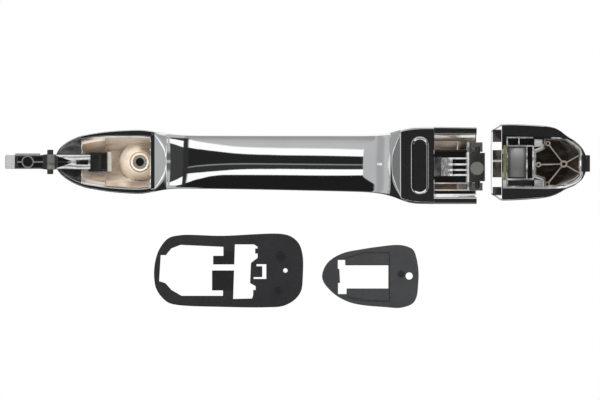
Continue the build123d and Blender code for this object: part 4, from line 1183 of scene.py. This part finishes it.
def build_cap():
    sections = [cap_section(float(x), is_open) for start, end, count, is_open in CAP_RUNS
                for x in np.linspace(start, end, count)]
    count = len(sections[0])
    verts = [p for section in sections for p in section]
    faces = grid_faces(len(sections), count, close_v=True)
    # flat discs close both ends
    for base in (0, (len(sections) - 1) * count):
        ring = verts[base:base + count]
        hub = len(verts)
        verts.append((ring[0][0], np.mean([p[1] for p in ring]), np.mean([p[2] for p in ring])))
        faces += [(hub, base + j, base + (j + 1) % count) for j in range(count)]
    cap = mesh_obj("cap_plated", verts, faces, "end_cap", MATERIALS["cap"], sharp_deg=38)
    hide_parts("cap_shell")
    cap.visible_glossy = False


build_cap()


# --------------------------------------------------------------------------
# surroundings: white for the camera, a studio of soft boxes for reflections.
# The map is laid out by u = dx/(1+dy), v = dz/(1+dy), which for a viewer on
# the door side are the tilts of the reflecting surface towards +x and +z.
# Masks take (value, edge, softness); levels are brightnesses.
# --------------------------------------------------------------------------
def halo(base, u, v, centre_u, inner, outer):
    """White ring round (centre_u, 0)."""
    radius = maths("SQRT", (u - centre_u) * (u - centre_u) + v * v)
    return mix_level(above(radius, inner, 0.05) * below(radius, outer, 0.06), base, 1.0)


def layers(value, base, table):
    """Cover the base beyond each (edge, softness) with its level."""
    for edge, soft, level in table:
        base = mix_level(above(value, edge, soft), base, level)
    return base


def grip_bands(v, tilt):
    """Lengthwise bands on the grip; their borders bend away with the tilt to -x."""
    square = tilt * tilt
    line = -0.024 - square * 0.60
    white = 0.155 + square / (tilt + 0.12) * 0.60
    grey = 0.335 + square * 3.2
    dark = -0.122 - square / (tilt + 0.08) * 0.42
    far = maximum(tilt - 0.13, 0.0)
    black = -0.262 - far * far * 6.5
    top_grey = mix_level(above(v, 0.8, 0.35), 0.47, 0.30)
    level = layers(v, 0.012, ((black, 0.012, 1.0), (dark, 0.008, 0.030)))
    level = mix_level(band(v, line - 0.010, line + 0.010, 0.005), level, 0.26)
    return layers(v, level, ((line + 0.02, 0.01, 0.017), (white, 0.010, 1.0),
                             (grey, 0.035, top_grey)))


def minus_x_side(level, v, tilt):
    """Towards -x: a dark post, two windows beyond it, then open grey."""
    post = above(tilt, 0.375, 0.012)
    level = mix_level(post * below(abs(v), 0.95, 0.08), level, 0.028)
    beyond = tilt - 0.44
    upper = band(v, 0.33 + beyond * 0.40, 0.62 + beyond * 0.45, 0.02)
    down = v * -1.0
    lower = (above(down, 0.34 + beyond * 0.75, 0.02)
             * below(down, 0.80 + beyond * 1.0, 0.03))
    wall = mix_level(above(v, 0.95, 0.1), 0.045, 0.45)
    wall = mix_level(maximum(upper, lower), wall, 1.0)
    wall = mix_level(above(tilt, 0.62, 0.05) * above(down, 0.95, 0.10), wall, 0.42)
    low_side = (above(tilt - down * 0.12, 0.0, 0.03) * above(down, 1.6, 0.15)
                * above(tilt, 0.24, 0.03))
    level = mix_level(above(tilt, 0.445, 0.008), level, wall)
    open_grey = mix_level(above(abs(v), 0.03, 0.015) * below(abs(v), 0.20, 0.06), 0.44, 0.12)
    open_grey = layers(tilt, open_grey, ((1.10, 0.06, 0.42), (1.40, 0.08, 0.39)))
    level = mix_level(low_side, level, 0.40)
    return mix_level(above(tilt, 0.86, 0.02), level, open_grey), down


def plus_x_side(level, u, v, down):
    """Towards +x: grey, black low down, small lights far round."""
    low_edge = 0.30 + (u - 0.33) * 1.1
    far = mix_level(above(down, low_edge, 0.03) * below(u, 0.62, 0.06), 0.44, 0.012)
    far = mix_level(band(u, 0.72, 1.0, 0.10) * 0.75, far, 0.30)
    far = layers(u, far, ((1.02, 0.05, 0.47), (1.36, 0.05, 0.32)))
    sparks = band(u, 0.78, 0.82, 0.01) + band(u, 0.90, 0.94, 0.01)
    far = mix_level(sparks * below(abs(v), 0.03, 0.01), far, 1.0)
    patch = band(u, 0.845, 0.895, 0.006) * below(abs(v), 0.018, 0.004)
    far = mix_level(patch, far, 1.0)
    far = halo(far, u, v, 1.50, inner=0.12, outer=0.30)
    border = 0.335 + minimum(maximum(abs(v) - 0.3, 0.0) * 0.35, 0.28)
    return mix_level(above(u, border, 0.008), level, far)


def studio_level(tree):
    dir_x, dir_y, dir_z = split(make(tree, "ShaderNodeTexCoord", out="Generated"))
    depth = maximum(dir_y + 1.0, 0.02)
    u, v = dir_x / depth, dir_z / depth
    tilt = maximum(u * -1.0, 0.0)
    level, down = minus_x_side(grip_bands(v, tilt), v, tilt)
    level = halo(level, u, v, -1.73, inner=0.16, outer=0.44)
    level = plus_x_side(level, u, v, down)
    # towards -y, for the views of the outer face
    back = layers(dir_z / (abs(dir_y) + 1.0), 0.02,
                  ((-0.42, 0.02, 0.22), (-0.30, 0.02, 0.02), (0.0, 0.012, 0.30),
                   (0.16, 0.03, 1.0), (0.42, 0.05, 0.42)))
    level = mix_level(above(dir_y * -1.0, 0.74, 0.02), level, back)
    # darker blots far round to +x
    blotches = noise(make(tree, "ShaderNodeCombineXYZ", {0: u, 1: v}), 5.5, detail=1.0)
    blot = above(blotches, 0.52, 0.03) * above(u, 1.25, 0.1) * above(dir_y, -0.60, 0.05)
    exposure = 1.18
    return level * (1.0 - blot * 0.50) * exposure


def build_world():
    world = bpy.data.worlds.new("studio")
    scene.world = world
    world.use_nodes = True
    tree = world.node_tree
    tree.nodes.clear()
    output = tree.nodes.new("ShaderNodeOutputWorld")
    level = studio_level(tree)
    colour = make(tree, "ShaderNodeCombineColor", {"Red": level, "Green": level, "Blue": level})

    def background(colour, strength):
        return make(tree, "ShaderNodeBackground", {"Color": colour, "Strength": strength})

    studio = background(colour, strength=1.0)
    white = background(1, strength=1.0)
    soft = background((0.95, 0.97, 1.0), strength=0.55)
    rays = tree.nodes.new("ShaderNodeLightPath")
    glossy = Value(tree, rays.outputs["Is Glossy Ray"])
    seen = Value(tree, rays.outputs["Is Camera Ray"])
    lit = make(tree, "ShaderNodeMixShader", {0: glossy, 1: soft, 2: studio})
    feed(output.inputs["Surface"], make(tree, "ShaderNodeMixShader", {0: seen, 1: lit, 2: white}))


build_world()

# --------------------------------------------------------------------------
# lights, floor and camera (metres)
# --------------------------------------------------------------------------
CENTRE = Vector((-0.1123, -0.006, -0.0171))


def area_light(name, location, size, power):
    """Square soft light aimed at the centre and unseen in reflections."""
    light = bpy.data.lights.new(name, "AREA")
    light.energy = power
    light.shape = "RECTANGLE"
    light.size = light.size_y = size
    ob = bpy.data.objects.new(name, light)
    scene.collection.objects.link(ob)
    ob.location = location
    ob.rotation_euler = (CENTRE - Vector(location)).to_track_quat("-Z", "Y").to_euler()
    ob.visible_glossy = False


area_light("key_soft", (0.35, 0.75, 0.75), size=0.6, power=9.0)
area_light("fill_soft", (-0.8, 0.7, 0.1), size=0.7, power=3.5)
area_light("front_soft", (-0.3, -0.9, 0.6), size=0.8, power=8.0)


def floor_material():
    """Pale floor that turns to plain white at grazing view."""
    material, tree, shader = new_material("pale_floor")
    feed(shader.inputs["Base Color"],
         ramp(noise(object_vector(tree), 3.0, detail=3.0), (0.3, 0.84), (0.7, 0.88)))
    shader.inputs["Roughness"].default_value = 0.8
    incoming = make(tree, "ShaderNodeNewGeometry", out="Incoming")
    steepness = make(tree, "ShaderNodeVectorMath", {0: incoming, 1: (0, 0, 1)}, out="Value",
                     operation="DOT_PRODUCT")
    graze = rescale(steepness, source=(0.03, 0.22), target=(1.0, 0.0))
    glow = make(tree, "ShaderNodeEmission", {"Strength": 1.0})
    output = next(n for n in tree.nodes if n.type == "OUTPUT_MATERIAL")
    feed(output.inputs["Surface"],
         make(tree, "ShaderNodeMixShader",
              {0: graze, 1: Value(tree, shader.outputs[0]), 2: glow}))
    return material


def build_floor(radius=1.5, sides=48, gap=0.0005):
    """Disc a small gap below the CAD pieces."""
    material = floor_material()
    mesh = bpy.data.meshes.new("floor")
    turns = [2 * math.pi * k / sides for k in range(sides)]
    mesh.from_pydata([(CENTRE.x + radius * math.cos(a), CENTRE.y + radius * math.sin(a),
                       cad_lo.z - gap) for a in turns], [], [tuple(range(sides))])
    floor = bpy.data.objects.new("floor", mesh)
    scene.collection.objects.link(floor)
    mesh.materials.append(material)
    floor.visible_glossy = False


build_floor()


def build_camera(distance=6.0, view_width=0.270):
    """Long lens square to the door side; view_width is what it spans at the door plane."""
    data = bpy.data.cameras.new("cam")
    camera = bpy.data.objects.new("cam", data)
    scene.collection.objects.link(camera)
    data.sensor_width = 36.0
    data.lens = 36.0 * (distance + 0.006) / view_width
    camera.location = (-0.112275, distance, -0.0171)
    camera.rotation_euler = (math.radians(90), 0, math.radians(180))
    data.clip_start, data.clip_end = 0.05, 50.0
    scene.camera = camera


build_camera()
scene.view_settings.view_transform = "Standard"
scene.view_settings.look = "None"
